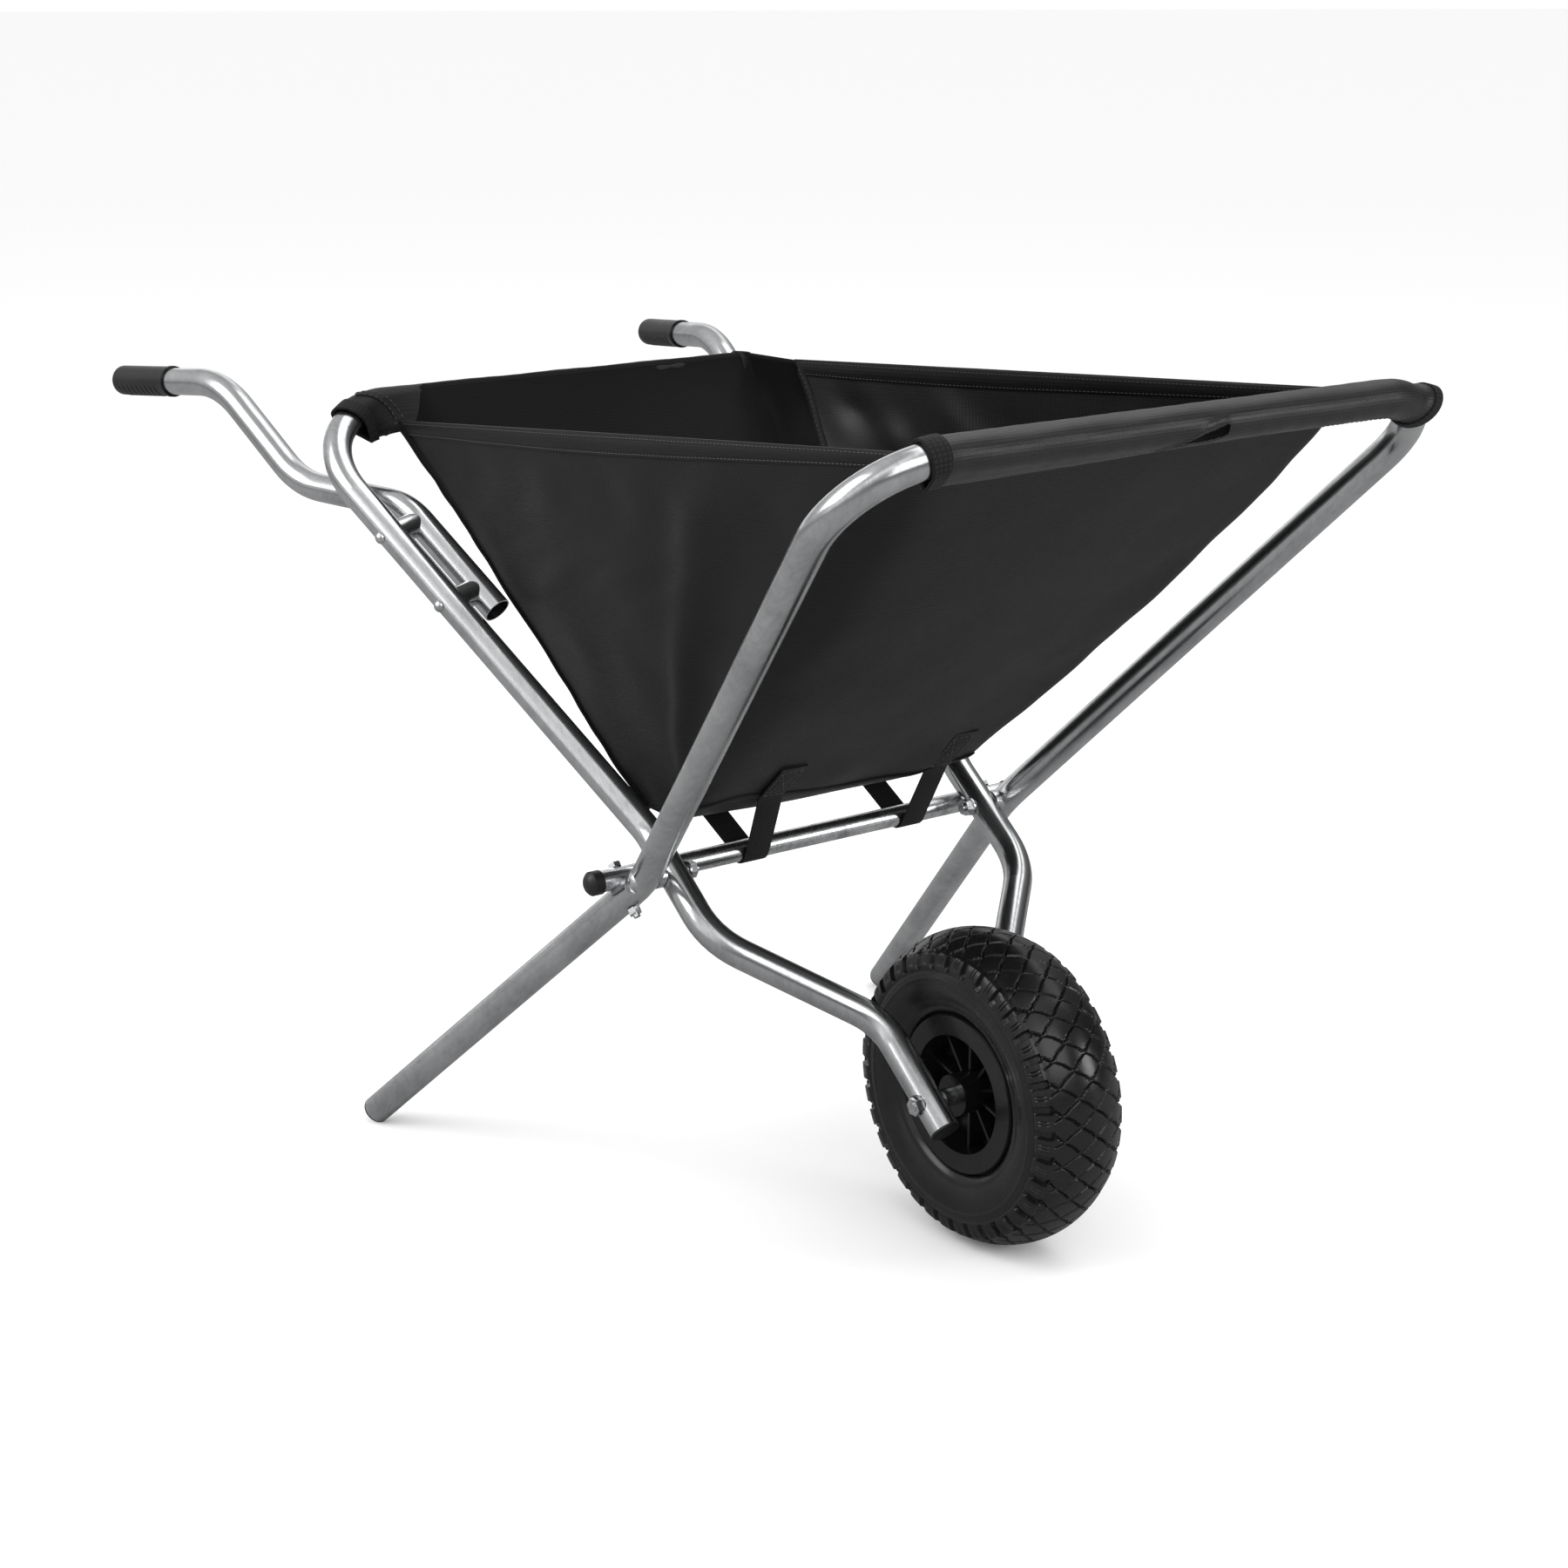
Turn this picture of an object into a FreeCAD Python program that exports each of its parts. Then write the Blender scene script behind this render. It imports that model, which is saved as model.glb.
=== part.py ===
"""Folding wheelbarrow: two crossed tube frames, a cloth sack between their bars, one pneumatic wheel.

Frame: +X forward (towards the wheel), +Y to the left, +Z up, millimetres.
The origin is on the ground under the middle of the whole object.
Every sub-part is written to parts/NODE.step.
"""
import os
from math import asin, cos, pi, radians, sin, sqrt, tan

import FreeCAD
import Part

Vector = FreeCAD.Vector

# ---------------------------------------------------------------- driving dimensions
WHEEL_R = 130.0            # 260 mm pneumatic wheel
TYRE_HALF_W = 42.5
TUBE_R = 12.5              # 25 mm steel tube
TUBE_WALL = 1.2
ROD_R = 9.0
ROD_WALL = 1.0
REAR_REACH = 935.5         # axle to the rear end of the grips
FRONT_REACH = 202.4        # axle to the front of the front hem
AXLE_X = (REAR_REACH - FRONT_REACH) / 2.0

SLACK = 0.3                # gap kept between pieces that move past each other
HOLE_SLACK = 0.05          # radial clearance of a bolt in its hole
CLOTH = 1.6                # cloth panel thickness
HEM_GAP = 0.3              # cloth to tube inside a hem sleeve
HEM_CLOTH = 1.6            # folded hem thickness


def at(x, y, z):
    """A point given from the axle's X, the middle plane and the ground."""
    return Vector(AXLE_X + x, y, z)


Y_AXIS = Vector(0, 1, 0)
PIVOT = at(-207.3, 0.0, 286.8)
AXLE = at(0.0, 0.0, WHEEL_R)

# leg frame (outer): front bar, upper legs, lower legs
LEG_CORNER = at(188.0, 290.0, 687.6)
LEG_WAIST = at(-209.6, 191.0, 284.5)
LEG_FOOT = at(-504.0, 289.0, 9.33)
LEG_CORNER_BEND = 70.0
LEG_WAIST_BEND = 90.0

# wheel frame (inner): rear bar, upper legs, fork
WHEEL_FRAME_CORNER = at(-619.0, 284.5, 622.7)
WHEEL_FRAME_WAIST = at(-242.0, 164.0, 313.5)
FORK_SHOULDER = at(-153.0, 164.0, 245.0)
FORK_KNEE = at(-60.0, 61.5, 179.2)
FORK_TAIL = 26.2           # tube beyond the axle
WHEEL_FRAME_CORNER_BEND = 78.0
WHEEL_FRAME_WAIST_BEND = 60.0
FORK_SHOULDER_BEND = 70.0
FORK_KNEE_BEND = 58.0

# handles: S-shaped tubes bolted inside the upper legs of the wheel frame
HANDLE_OFFSET = 33.5       # between the axes of the handle tube and the leg
HANDLE_LOW = 243.6         # where the handle starts and bends, along the leg from the waist
HANDLE_HIGH = 372.0
HANDLE_BOLTS = (268.7, 351.5)
HANDLE_ELBOW = at(-659.0, 255.0, 552.0)
HANDLE_NECK = at(-771.0, 274.0, 631.0)
GRIP_TIP = at(-935.2, 301.1, 617.0)
GRIP_LENGTH = 89.0
HANDLE_BENDS = (62.0, 90.0, 95.0)
GRIP_R = 14.6
GRIP_RIB = 0.6
GRIP_RIB_COUNT = 8
GRIP_RIB_PITCH = 8.0
GRIP_RIB_START = 14.0
GRIP_DOME = 8.0

# pivot hardware
PIVOT_BOLT_R = 4.0
PIVOT_HEAD_R = 8.5
PIVOT_POCKET = 4.0         # pressed seat under the bolt head
SPACER_R = 9.5
SPACER_POCKET = 2.0

# rod under the sack, held to the lower legs
ROD = at(-236.6, 0.0, 281.8)
ROD_END = 224.5
ROD_CAP_R = 10.2
ROD_CAP_LENGTH = 14.0
ROD_CAP_DOME = 5.5
ROD_BOLT_R = 3.0

# axle
AXLE_BOLT_R = 4.0
AXLE_SLEEVE_R = 6.0
AXLE_POCKET = 4.0
HUB_HALF = 37.5
HUB_R = 17.0
BUSH_R = 10.0
RIM_HALF = 34.0
RIM_R = 66.0
RIM_BORE_R = 49.0
RIB_COUNT = 10

# sack
SACK_BOTTOM_FRONT = at(-200.0, 138.0, 336.0)
SACK_BOTTOM_REAR = at(-277.0, 138.0, 321.0)
SACK_TOP_HALF = 198.0
FRONT_HEM = (-227.0, 280.0)    # ends of the hem sleeves, along the bar from its middle
REAR_HEM = (-236.0, 205.0)
BINDING_CLOTH = 1.9
SACK_REAR_HALF = 184.0
STRAP_W = 25.0
STRAP_T = 1.6
STRAP_Y = (-61.0, 104.0)


# ---------------------------------------------------------------- helpers
def mirrored(point):
    return Vector(point.x, -point.y, point.z)


def on_side(point, side):
    return Vector(point.x, side * abs(point.y), point.z)


def unit(v):
    w = Vector(v)
    w.normalize()
    return w


def between(a, b, distance):
    """The point at the given distance from a towards b."""
    return a + unit(b - a) * distance


def cylinder(radius, start, end):
    return Part.makeCylinder(radius, (end - start).Length, start, unit(end - start))


def disc_face(radius, centre, normal):
    return Part.Face(Part.Wire(Part.Circle(centre, normal, radius).toShape()))


def rounded_path(points, bends):
    """A wire through the points, with a tangent arc of the given radius at each inner point."""
    edges = []
    start = points[0]
    for before, corner, after, radius in zip(points, points[1:], points[2:], bends):
        to_before = unit(before - corner)
        to_after = unit(after - corner)
        half = (pi - to_before.getAngle(to_after)) / 2.0
        tangent = radius * tan(half)
        arc_start = corner + to_before * tangent
        arc_end = corner + to_after * tangent
        inward = unit(to_before + to_after)
        arc_middle = corner + inward * (radius / cos(half) - radius)
        edges.append(Part.makeLine(start, arc_start))
        edges.append(Part.Arc(arc_start, arc_middle, arc_end).toShape())
        start = arc_end
    edges.append(Part.makeLine(start, points[-1]))
    return Part.Wire(edges)


def swept_solid(path, points, radius):
    return path.makePipe(disc_face(radius, points[0], unit(points[1] - points[0])))


class BentTube:
    """A hollow round tube along a rounded path, with its solid outline kept for pressing seats."""

    def __init__(self, points, bends, radius=TUBE_R, wall=TUBE_WALL):
        path = rounded_path(points, bends)
        self.wall = wall
        self.outline = swept_solid(path, points, radius)
        bore = swept_solid(path, points, radius - wall)
        self.shape = self.outline.cut(bore)

    def press(self, dent, dent_grown):
        """Dent the wall inwards: dent is the tool, dent_grown the tool plus one wall thickness."""
        floor = self.outline.common(dent_grown).cut(dent)
        self.shape = self.shape.cut(dent_grown).fuse(floor).removeSplitter()

    def press_seat(self, seat, outward, radius, reach=30.0):
        """A round flat-bottomed seat pressed into the wall, its floor at seat."""
        dent = cylinder(radius, seat, seat + outward * reach)
        grown = cylinder(radius + self.wall, seat - outward * self.wall, seat + outward * reach)
        self.press(dent, grown)

    def drill(self, start, end, radius):
        self.shape = self.shape.cut(cylinder(radius, start, end))


def hexagon(across_flats, start, end):
    """A hexagonal prism from start to end."""
    direction = unit(end - start)
    helper = Vector(0, 0, 1) if abs(direction.z) < 0.9 else Vector(1, 0, 0)
    u = unit(direction.cross(helper))
    v = direction.cross(u)
    radius = across_flats / sqrt(3.0)
    angles = [k * pi / 3 for k in range(6)]
    corners = [start + u * (radius * cos(a)) + v * (radius * sin(a)) for a in angles]
    face = Part.Face(Part.makePolygon(corners + corners[:1]))
    return face.extrude(end - start)


def washer(inner, outer, start, end):
    return cylinder(outer, start, end).cut(cylinder(inner, start, end))


def domed_head(radius, height, seat, outward):
    """A low round bolt head: a cap cut from a sphere, with its flat side at seat."""
    ball_r = (radius ** 2 + height ** 2) / (2.0 * height)
    ball = Part.makeSphere(ball_r, seat + outward * (height - ball_r))
    return ball.common(cylinder(radius, seat, seat + outward * (height + 1.0)))


def slab(corners, thickness, normal):
    """A flat or folded panel: the polygon's face, extruded by thickness along normal."""
    face = Part.Face(Part.makePolygon(list(corners) + [corners[0]]))
    return face.extrude(unit(normal) * thickness)


def group(shapes):
    return Part.makeCompound(shapes)


# ---------------------------------------------------------------- leg frame
def foot_end():
    """The end of the leg's axis: the square-cut end touches the ground with its lower edge."""
    down = unit(LEG_FOOT - LEG_WAIST)
    lift = TUBE_R * sqrt(1.0 - down.z ** 2)
    return LEG_WAIST + down * ((LEG_WAIST.z - lift) / -down.z)


FOOT_PLUG_FLANGE = 1.5
FOOT_PLUG_STEM = 14.0


def leg_frame_points():
    foot = foot_end()
    tube_end = foot - unit(foot - LEG_WAIST) * FOOT_PLUG_FLANGE
    left = [tube_end, LEG_WAIST, LEG_CORNER]
    return left + [mirrored(p) for p in reversed(left)]


def leg_y_at_pivot():
    """The waist's bend keeps the tube a little outside its vertex."""
    to_foot = unit(LEG_FOOT - LEG_WAIST)
    to_corner = unit(LEG_CORNER - LEG_WAIST)
    half = (pi - to_foot.getAngle(to_corner)) / 2.0
    return LEG_WAIST.y + LEG_WAIST_BEND * (1.0 / cos(half) - 1.0)


def rod_meets_leg(side):
    """The point of the lower leg's axis nearest to the rod, and the normal from it towards the rod."""
    waist = on_side(LEG_WAIST, side)
    foot = on_side(foot_end(), side)
    along = unit(foot - waist)
    flat = unit(Vector(along.x, 0, along.z))
    reach = Vector(ROD.x - waist.x, 0, ROD.z - waist.z).dot(flat)
    point = waist + along * (reach / along.dot(flat))
    normal = unit(Vector(ROD.x - point.x, 0, ROD.z - point.z))
    return point, normal


def leg_frame_tube():
    bends = [LEG_WAIST_BEND, LEG_CORNER_BEND, LEG_CORNER_BEND, LEG_WAIST_BEND]
    tube = BentTube(leg_frame_points(), bends)
    for side in (-1, 1):
        out = Y_AXIS * side
        axis_point = PIVOT + out * leg_y_at_pivot()
        tube.press_seat(axis_point + out * (TUBE_R - PIVOT_POCKET), out, PIVOT_HEAD_R + 0.6)
        tube.press_seat(axis_point - out * (TUBE_R - SPACER_POCKET), out * -1, SPACER_R + 0.3, 6.0)
        tube.drill(PIVOT, PIVOT + out * 300, PIVOT_BOLT_R + HOLE_SLACK)
        point, normal = rod_meets_leg(side)
        tube.drill(point - normal * 30, point + normal * 30, ROD_BOLT_R + HOLE_SLACK)
    return tube.shape


def end_plug(tube_end, outward, flange, stem):
    """A plug pushed into a tube's open end, with a flange over the rim."""
    inside = tube_end - outward * stem
    plug = cylinder(TUBE_R - TUBE_WALL - 0.05, inside, tube_end + outward * 0.1)
    return plug.fuse(cylinder(TUBE_R, tube_end, tube_end + outward * flange)).removeSplitter()


def foot_plugs():
    plugs = []
    for side in (-1, 1):
        foot = on_side(foot_end(), side)
        down = unit(foot - on_side(LEG_WAIST, side))
        plugs.append(end_plug(foot - down * FOOT_PLUG_FLANGE, down, FOOT_PLUG_FLANGE, FOOT_PLUG_STEM))
    return group(plugs)


# ---------------------------------------------------------------- pivots
def pivot_stations(side):
    """Distances along the pivot axis: head seat, leg side of the spacer, frame side, inner face."""
    leg_y = leg_y_at_pivot()
    head_seat = leg_y + TUBE_R - PIVOT_POCKET
    spacer_out = leg_y - TUBE_R + SPACER_POCKET
    spacer_in = WHEEL_FRAME_WAIST.y + TUBE_R - SPACER_POCKET
    inner_face = WHEEL_FRAME_WAIST.y - TUBE_R
    return [PIVOT + Y_AXIS * (side * y) for y in (head_seat, spacer_out, spacer_in, inner_face)]


WASHER_T = 1.5
PIVOT_NUT_H = 6.5
PIVOT_NUT_AF = 13.0


def pivot_bolts():
    bolts = []
    for side in (-1, 1):
        out = Y_AXIS * side
        head_seat, _, _, inner_face = pivot_stations(side)
        tip = inner_face - out * (SLACK + WASHER_T + PIVOT_NUT_H + 2.5)
        shank = cylinder(PIVOT_BOLT_R, tip, head_seat + out * 0.5)
        bolts.append(shank.fuse(domed_head(PIVOT_HEAD_R, 4.6, head_seat, out)).removeSplitter())
    return group(bolts)


def pivot_spacers():
    rings = []
    for side in (-1, 1):
        out = Y_AXIS * side
        _, leg_side, frame_side, _ = pivot_stations(side)
        rings.append(washer(PIVOT_BOLT_R + HOLE_SLACK, SPACER_R, frame_side + out * SLACK, leg_side))
    return group(rings)


def pivot_washers():
    rings = []
    for side in (-1, 1):
        out = Y_AXIS * side
        start = pivot_stations(side)[3] - out * SLACK
        rings.append(washer(PIVOT_BOLT_R + HOLE_SLACK, 8.0, start, start - out * WASHER_T))
    return group(rings)


def pivot_nuts():
    nuts = []
    for side in (-1, 1):
        out = Y_AXIS * side
        start = pivot_stations(side)[3] - out * (SLACK + WASHER_T)
        end = start - out * PIVOT_NUT_H
        nuts.append(hexagon(PIVOT_NUT_AF, start, end).cut(cylinder(PIVOT_BOLT_R, start, end)))
    return group(nuts)


# ---------------------------------------------------------------- cross rod
def cross_rod():
    ends = [ROD - Y_AXIS * ROD_END, ROD + Y_AXIS * ROD_END]
    rod = BentTube(ends, [], ROD_R, ROD_WALL)
    for side in (-1, 1):
        waist = on_side(LEG_WAIST, side)
        foot = on_side(foot_end(), side)
        along = unit(foot - waist)
        start = waist - along * 8.0
        leg = cylinder(TUBE_R, start, foot)
        leg_grown = cylinder(TUBE_R + ROD_WALL, start, foot)
        rod.press(leg, leg_grown)
        point, normal = rod_meets_leg(side)
        rod.drill(point, point + normal * 60, ROD_BOLT_R + HOLE_SLACK)
    return rod.shape


def rod_end_caps():
    caps = []
    for side in (-1, 1):
        out = Y_AXIS * side
        tip = ROD + out * ROD_END
        sleeve = cylinder(ROD_CAP_R, tip - out * (ROD_CAP_LENGTH - ROD_CAP_DOME), tip)
        dome = domed_head(ROD_CAP_R, ROD_CAP_DOME, tip, out)
        cap = sleeve.fuse(dome).cut(cylinder(ROD_R, tip - out * ROD_CAP_LENGTH, tip))
        caps.append(cap.removeSplitter())
    return group(caps)


ROD_BOLT_HEAD_H = 4.0
ROD_BOLT_AF = 10.0
ROD_NUT_H = 5.0


def rod_bolt_seats(side):
    """The bolt's head seat on the rod and its nut seat on the leg, with the direction between them."""
    point, normal = rod_meets_leg(side)
    rod_distance = Vector(ROD.x - point.x, 0, ROD.z - point.z).Length
    return point + normal * (rod_distance + ROD_R), point - normal * TUBE_R, normal


def rod_bolts():
    bolts = []
    for side in (-1, 1):
        head_seat, nut_seat, normal = rod_bolt_seats(side)
        shank = cylinder(ROD_BOLT_R, nut_seat - normal * (ROD_NUT_H + 3.0), head_seat + normal * 0.5)
        head = hexagon(ROD_BOLT_AF, head_seat, head_seat + normal * ROD_BOLT_HEAD_H)
        bolts.append(shank.fuse(head).removeSplitter())
    return group(bolts)


def rod_nuts():
    nuts = []
    for side in (-1, 1):
        _, nut_seat, normal = rod_bolt_seats(side)
        end = nut_seat - normal * ROD_NUT_H
        nuts.append(hexagon(ROD_BOLT_AF, nut_seat, end).cut(cylinder(ROD_BOLT_R, nut_seat, end)))
    return group(nuts)


# ---------------------------------------------------------------- wheel frame
def fork_end():
    direction = unit(Vector(-FORK_KNEE.x + AXLE.x, 0, AXLE.z - FORK_KNEE.z))
    return Vector(AXLE.x, FORK_KNEE.y, AXLE.z) + direction * FORK_TAIL, direction


def wheel_frame_tube():
    end, _ = fork_end()
    left = [end, FORK_KNEE, FORK_SHOULDER, WHEEL_FRAME_WAIST, WHEEL_FRAME_CORNER]
    bends = [FORK_KNEE_BEND, FORK_SHOULDER_BEND, WHEEL_FRAME_WAIST_BEND, WHEEL_FRAME_CORNER_BEND]
    points = left + [mirrored(p) for p in reversed(left)]
    tube = BentTube(points, bends + bends[::-1])
    for side in (-1, 1):
        out = Y_AXIS * side
        pivot_outer = PIVOT + out * (WHEEL_FRAME_WAIST.y + TUBE_R - SPACER_POCKET)
        tube.press_seat(pivot_outer, out, SPACER_R + 0.6, 8.0)
        tube.drill(PIVOT, PIVOT + out * 200, PIVOT_BOLT_R + HOLE_SLACK)
        fork_y = AXLE + out * FORK_KNEE.y
        tube.press_seat(fork_y + out * (TUBE_R - AXLE_POCKET), out, 9.0)
        tube.drill(AXLE, AXLE + out * 100, AXLE_BOLT_R + HOLE_SLACK)
        for distance in HANDLE_BOLTS:
            point, inward = handle_bolt_axis(distance, side)
            tube.drill(point - inward * 20, point + inward * 20, HANDLE_BOLT_R + HOLE_SLACK)
    return tube.shape


def fork_end_plugs():
    end, direction = fork_end()
    plug = end_plug(end, direction, 1.5, 8.0)
    return group([plug, plug.mirror(Vector(0, 0, 0), Y_AXIS)])


# ---------------------------------------------------------------- handles
HANDLE_BOLT_R = 3.0
HANDLE_BOLT_AF = 10.0
HANDLE_BOLT_HEAD_H = 4.0
HANDLE_NUT_H = 5.0
HANDLE_NUT_DEPTH = 9.6     # the nut's seat, from the handle tube's axis


def leg_axes(side):
    """Ends of the wheel frame's straight upper leg, its direction, and the inward normal in its plane."""
    low = on_side(WHEEL_FRAME_WAIST, side)
    high = on_side(WHEEL_FRAME_CORNER, side)
    along = unit(high - low)
    sideways = Y_AXIS * -side
    inward = unit(sideways - along * sideways.dot(along))
    return low, high, along, inward


def handle_bolt_axis(distance, side):
    low, high, _, inward = leg_axes(side)
    return between(low, high, distance), inward


def handle_nut_seat(point, inward):
    """Each nut is welded inside the handle tube, against the wall that faces the leg."""
    return point + inward * (HANDLE_OFFSET - HANDLE_NUT_DEPTH)


def handle_points(side):
    low, high, _, inward = leg_axes(side)
    start = between(low, high, HANDLE_LOW) + inward * HANDLE_OFFSET
    bend = between(low, high, HANDLE_HIGH) + inward * HANDLE_OFFSET
    _, tip, along = grip_axis(side)
    return [start, bend, on_side(HANDLE_ELBOW, side), on_side(HANDLE_NECK, side), tip - along * 6.0]


def grip_axis(side):
    tip = on_side(GRIP_TIP, side)
    along = unit(tip - on_side(HANDLE_NECK, side))
    return tip - along * GRIP_LENGTH, tip, along


def handle_tube(side):
    tube = BentTube(handle_points(side), HANDLE_BENDS)
    for distance in HANDLE_BOLTS:
        point, inward = handle_bolt_axis(distance, side)
        centre = point + inward * HANDLE_OFFSET
        tube.drill(centre - inward * 20, centre, HANDLE_BOLT_R + HOLE_SLACK)
    return tube.shape


def grip(side):
    mouth, tip, along = grip_axis(side)
    dome_seat = tip - along * GRIP_DOME
    body = cylinder(GRIP_R - GRIP_RIB, mouth, dome_seat)
    body = body.fuse(domed_head(GRIP_R - GRIP_RIB, GRIP_DOME, dome_seat, along))
    ribs = [cylinder(GRIP_R, mouth, mouth + along * 6.0)]
    for k in range(GRIP_RIB_COUNT):
        start = mouth + along * (GRIP_RIB_START + k * GRIP_RIB_PITCH)
        ribs.append(cylinder(GRIP_R, start, start + along * (GRIP_RIB_PITCH / 2.0)))
    bore = cylinder(TUBE_R, mouth - along, tip - along * 6.0)
    return body.fuse(ribs).cut(bore).removeSplitter()


def handle_saddles():
    """Short blocks between the leg and the handle tube, hollowed to fit both."""
    saddles = []
    for side in (-1, 1):
        low, high, _, inward = leg_axes(side)
        leg = cylinder(TUBE_R, low, high)
        handle = BentTube(handle_points(side), HANDLE_BENDS).outline
        for distance in HANDLE_BOLTS:
            point = between(low, high, distance)
            block = cylinder(11.0, point, point + inward * HANDLE_OFFSET)
            hole = cylinder(HANDLE_BOLT_R + HOLE_SLACK, point, point + inward * HANDLE_OFFSET)
            saddles.append(block.cut([leg, handle, hole]))
    return group(saddles)


def handle_bolts():
    bolts = []
    for side in (-1, 1):
        for distance in HANDLE_BOLTS:
            point, inward = handle_bolt_axis(distance, side)
            head_seat = point - inward * TUBE_R
            tip = handle_nut_seat(point, inward) + inward * (HANDLE_NUT_H + 2.0)
            shank = cylinder(HANDLE_BOLT_R, head_seat - inward * 0.5, tip)
            head = domed_head(5.5, HANDLE_BOLT_HEAD_H, head_seat, inward * -1)
            bolts.append(shank.fuse(head).removeSplitter())
    return group(bolts)


def handle_nuts():
    nuts = []
    for side in (-1, 1):
        for distance in HANDLE_BOLTS:
            point, inward = handle_bolt_axis(distance, side)
            seat = handle_nut_seat(point, inward)
            end = seat + inward * HANDLE_NUT_H
            nuts.append(hexagon(HANDLE_BOLT_AF, seat, end).cut(cylinder(HANDLE_BOLT_R, seat, end)))
    return group(nuts)


# ---------------------------------------------------------------- axle and wheel
AXLE_NUT_H = 6.5
AXLE_AF = 13.0


def axle_y(outer=True):
    return FORK_KNEE.y + TUBE_R - AXLE_POCKET if outer else FORK_KNEE.y - TUBE_R


def axle_bolt():
    seat = AXLE + Y_AXIS * (axle_y() + WASHER_T)
    tip = AXLE - Y_AXIS * (axle_y() + WASHER_T + AXLE_NUT_H + 1.5)
    head = hexagon(AXLE_AF, seat, seat + Y_AXIS * 5.3)
    return cylinder(AXLE_BOLT_R, tip, seat + Y_AXIS * 0.5).fuse(head).removeSplitter()


def axle_nut():
    start = AXLE - Y_AXIS * (axle_y() + WASHER_T)
    end = start - Y_AXIS * AXLE_NUT_H
    return hexagon(AXLE_AF, start, end).cut(cylinder(AXLE_BOLT_R, start, end))


def axle_washers():
    rings = []
    for side in (-1, 1):
        seat = AXLE + Y_AXIS * (side * axle_y())
        rings.append(washer(AXLE_BOLT_R + HOLE_SLACK, 8.0, seat, seat + Y_AXIS * (side * WASHER_T)))
    return group(rings)


def axle_sleeve():
    half = Y_AXIS * axle_y(outer=False)
    return washer(AXLE_BOLT_R + HOLE_SLACK, AXLE_SLEEVE_R, AXLE - half, AXLE + half)


def axle_collars():
    """Rings on the sleeve that keep the hub in the middle of the fork."""
    rings = []
    for side in (-1, 1):
        out = Y_AXIS * side
        start = AXLE + out * (HUB_HALF + SLACK)
        end = AXLE + out * (axle_y(outer=False) - 0.2)
        rings.append(washer(AXLE_SLEEVE_R, 8.0, start, end))
    return group(rings)


BUSH_LENGTH = 18.0


def hub_bushes():
    rings = []
    for side in (-1, 1):
        outer = AXLE + Y_AXIS * (side * HUB_HALF)
        inner = AXLE + Y_AXIS * (side * (HUB_HALF - BUSH_LENGTH))
        rings.append(washer(AXLE_SLEEVE_R + HOLE_SLACK, BUSH_R, inner, outer))
    return group(rings)


def turned(edges):
    """A ring turned about the axle from the closed outline of its section."""
    return Part.Face(Part.Wire(edges)).revolve(AXLE, Y_AXIS, 360)


def wheel_point(radius, y):
    return AXLE + Vector(radius, y, 0)


def line_edges(points):
    """Straight edges through (radius, y) points."""
    ends = [wheel_point(*p) for p in points]
    return [Part.makeLine(a, b) for a, b in zip(ends, ends[1:])]


def arc_edge(a, b, c):
    return Part.Arc(wheel_point(*a), wheel_point(*b), wheel_point(*c)).toShape()


FLANGE_IN = 28.5
BEAD_SEAT_R = 56.0
WELL_R = 51.0
WELL_HALF = 12.0


def rim():
    """One moulding: barrel with two flanges, hub, and thin radial ribs with openings between them."""
    side_a = [(RIM_BORE_R, RIM_HALF), (RIM_R - 1.0, RIM_HALF), (RIM_R, RIM_HALF - 2.0)]
    side_a += [(RIM_R, FLANGE_IN + 1.0), (BEAD_SEAT_R + 1.5, FLANGE_IN), (BEAD_SEAT_R, FLANGE_IN - 2.0)]
    side_a += [(BEAD_SEAT_R - 1.0, WELL_HALF + 2.0), (WELL_R, WELL_HALF)]
    side_b = [(r, -y) for r, y in reversed(side_a)]
    barrel = turned(line_edges(side_a + side_b + side_a[:1]))
    hub = cylinder(HUB_R, AXLE - Y_AXIS * HUB_HALF, AXLE + Y_AXIS * HUB_HALF)
    rib_t = 2.4
    rib_half = 20.0
    ribs = []
    for k in range(RIB_COUNT):
        rib = Part.makeBox(RIM_BORE_R - HUB_R + 3.0, 2 * rib_half, rib_t)
        rib.translate(Vector(HUB_R - 1.5, -rib_half, -rib_t / 2.0))
        rib.rotate(Vector(0, 0, 0), Y_AXIS, 18.0 + k * 360.0 / RIB_COUNT)
        rib.translate(AXLE)
        ribs.append(rib)
    body = barrel.fuse([hub] + ribs)
    bore = cylinder(AXLE_SLEEVE_R + 1.0, AXLE - Y_AXIS * 60, AXLE + Y_AXIS * 60)
    seats = []
    for side in (-1, 1):
        outer = AXLE + Y_AXIS * (side * (HUB_HALF + 1.0))
        inner = AXLE + Y_AXIS * (side * (HUB_HALF - BUSH_LENGTH))
        seats.append(cylinder(BUSH_R, inner, outer))
    body = body.cut([bore] + seats)
    hole_start, hole_end = valve_axis()
    return body.cut(cylinder(VALVE_R + 0.05, hole_start, hole_end)).removeSplitter()


TYRE_SHOULDER = (117.5, 37.0)


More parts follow.
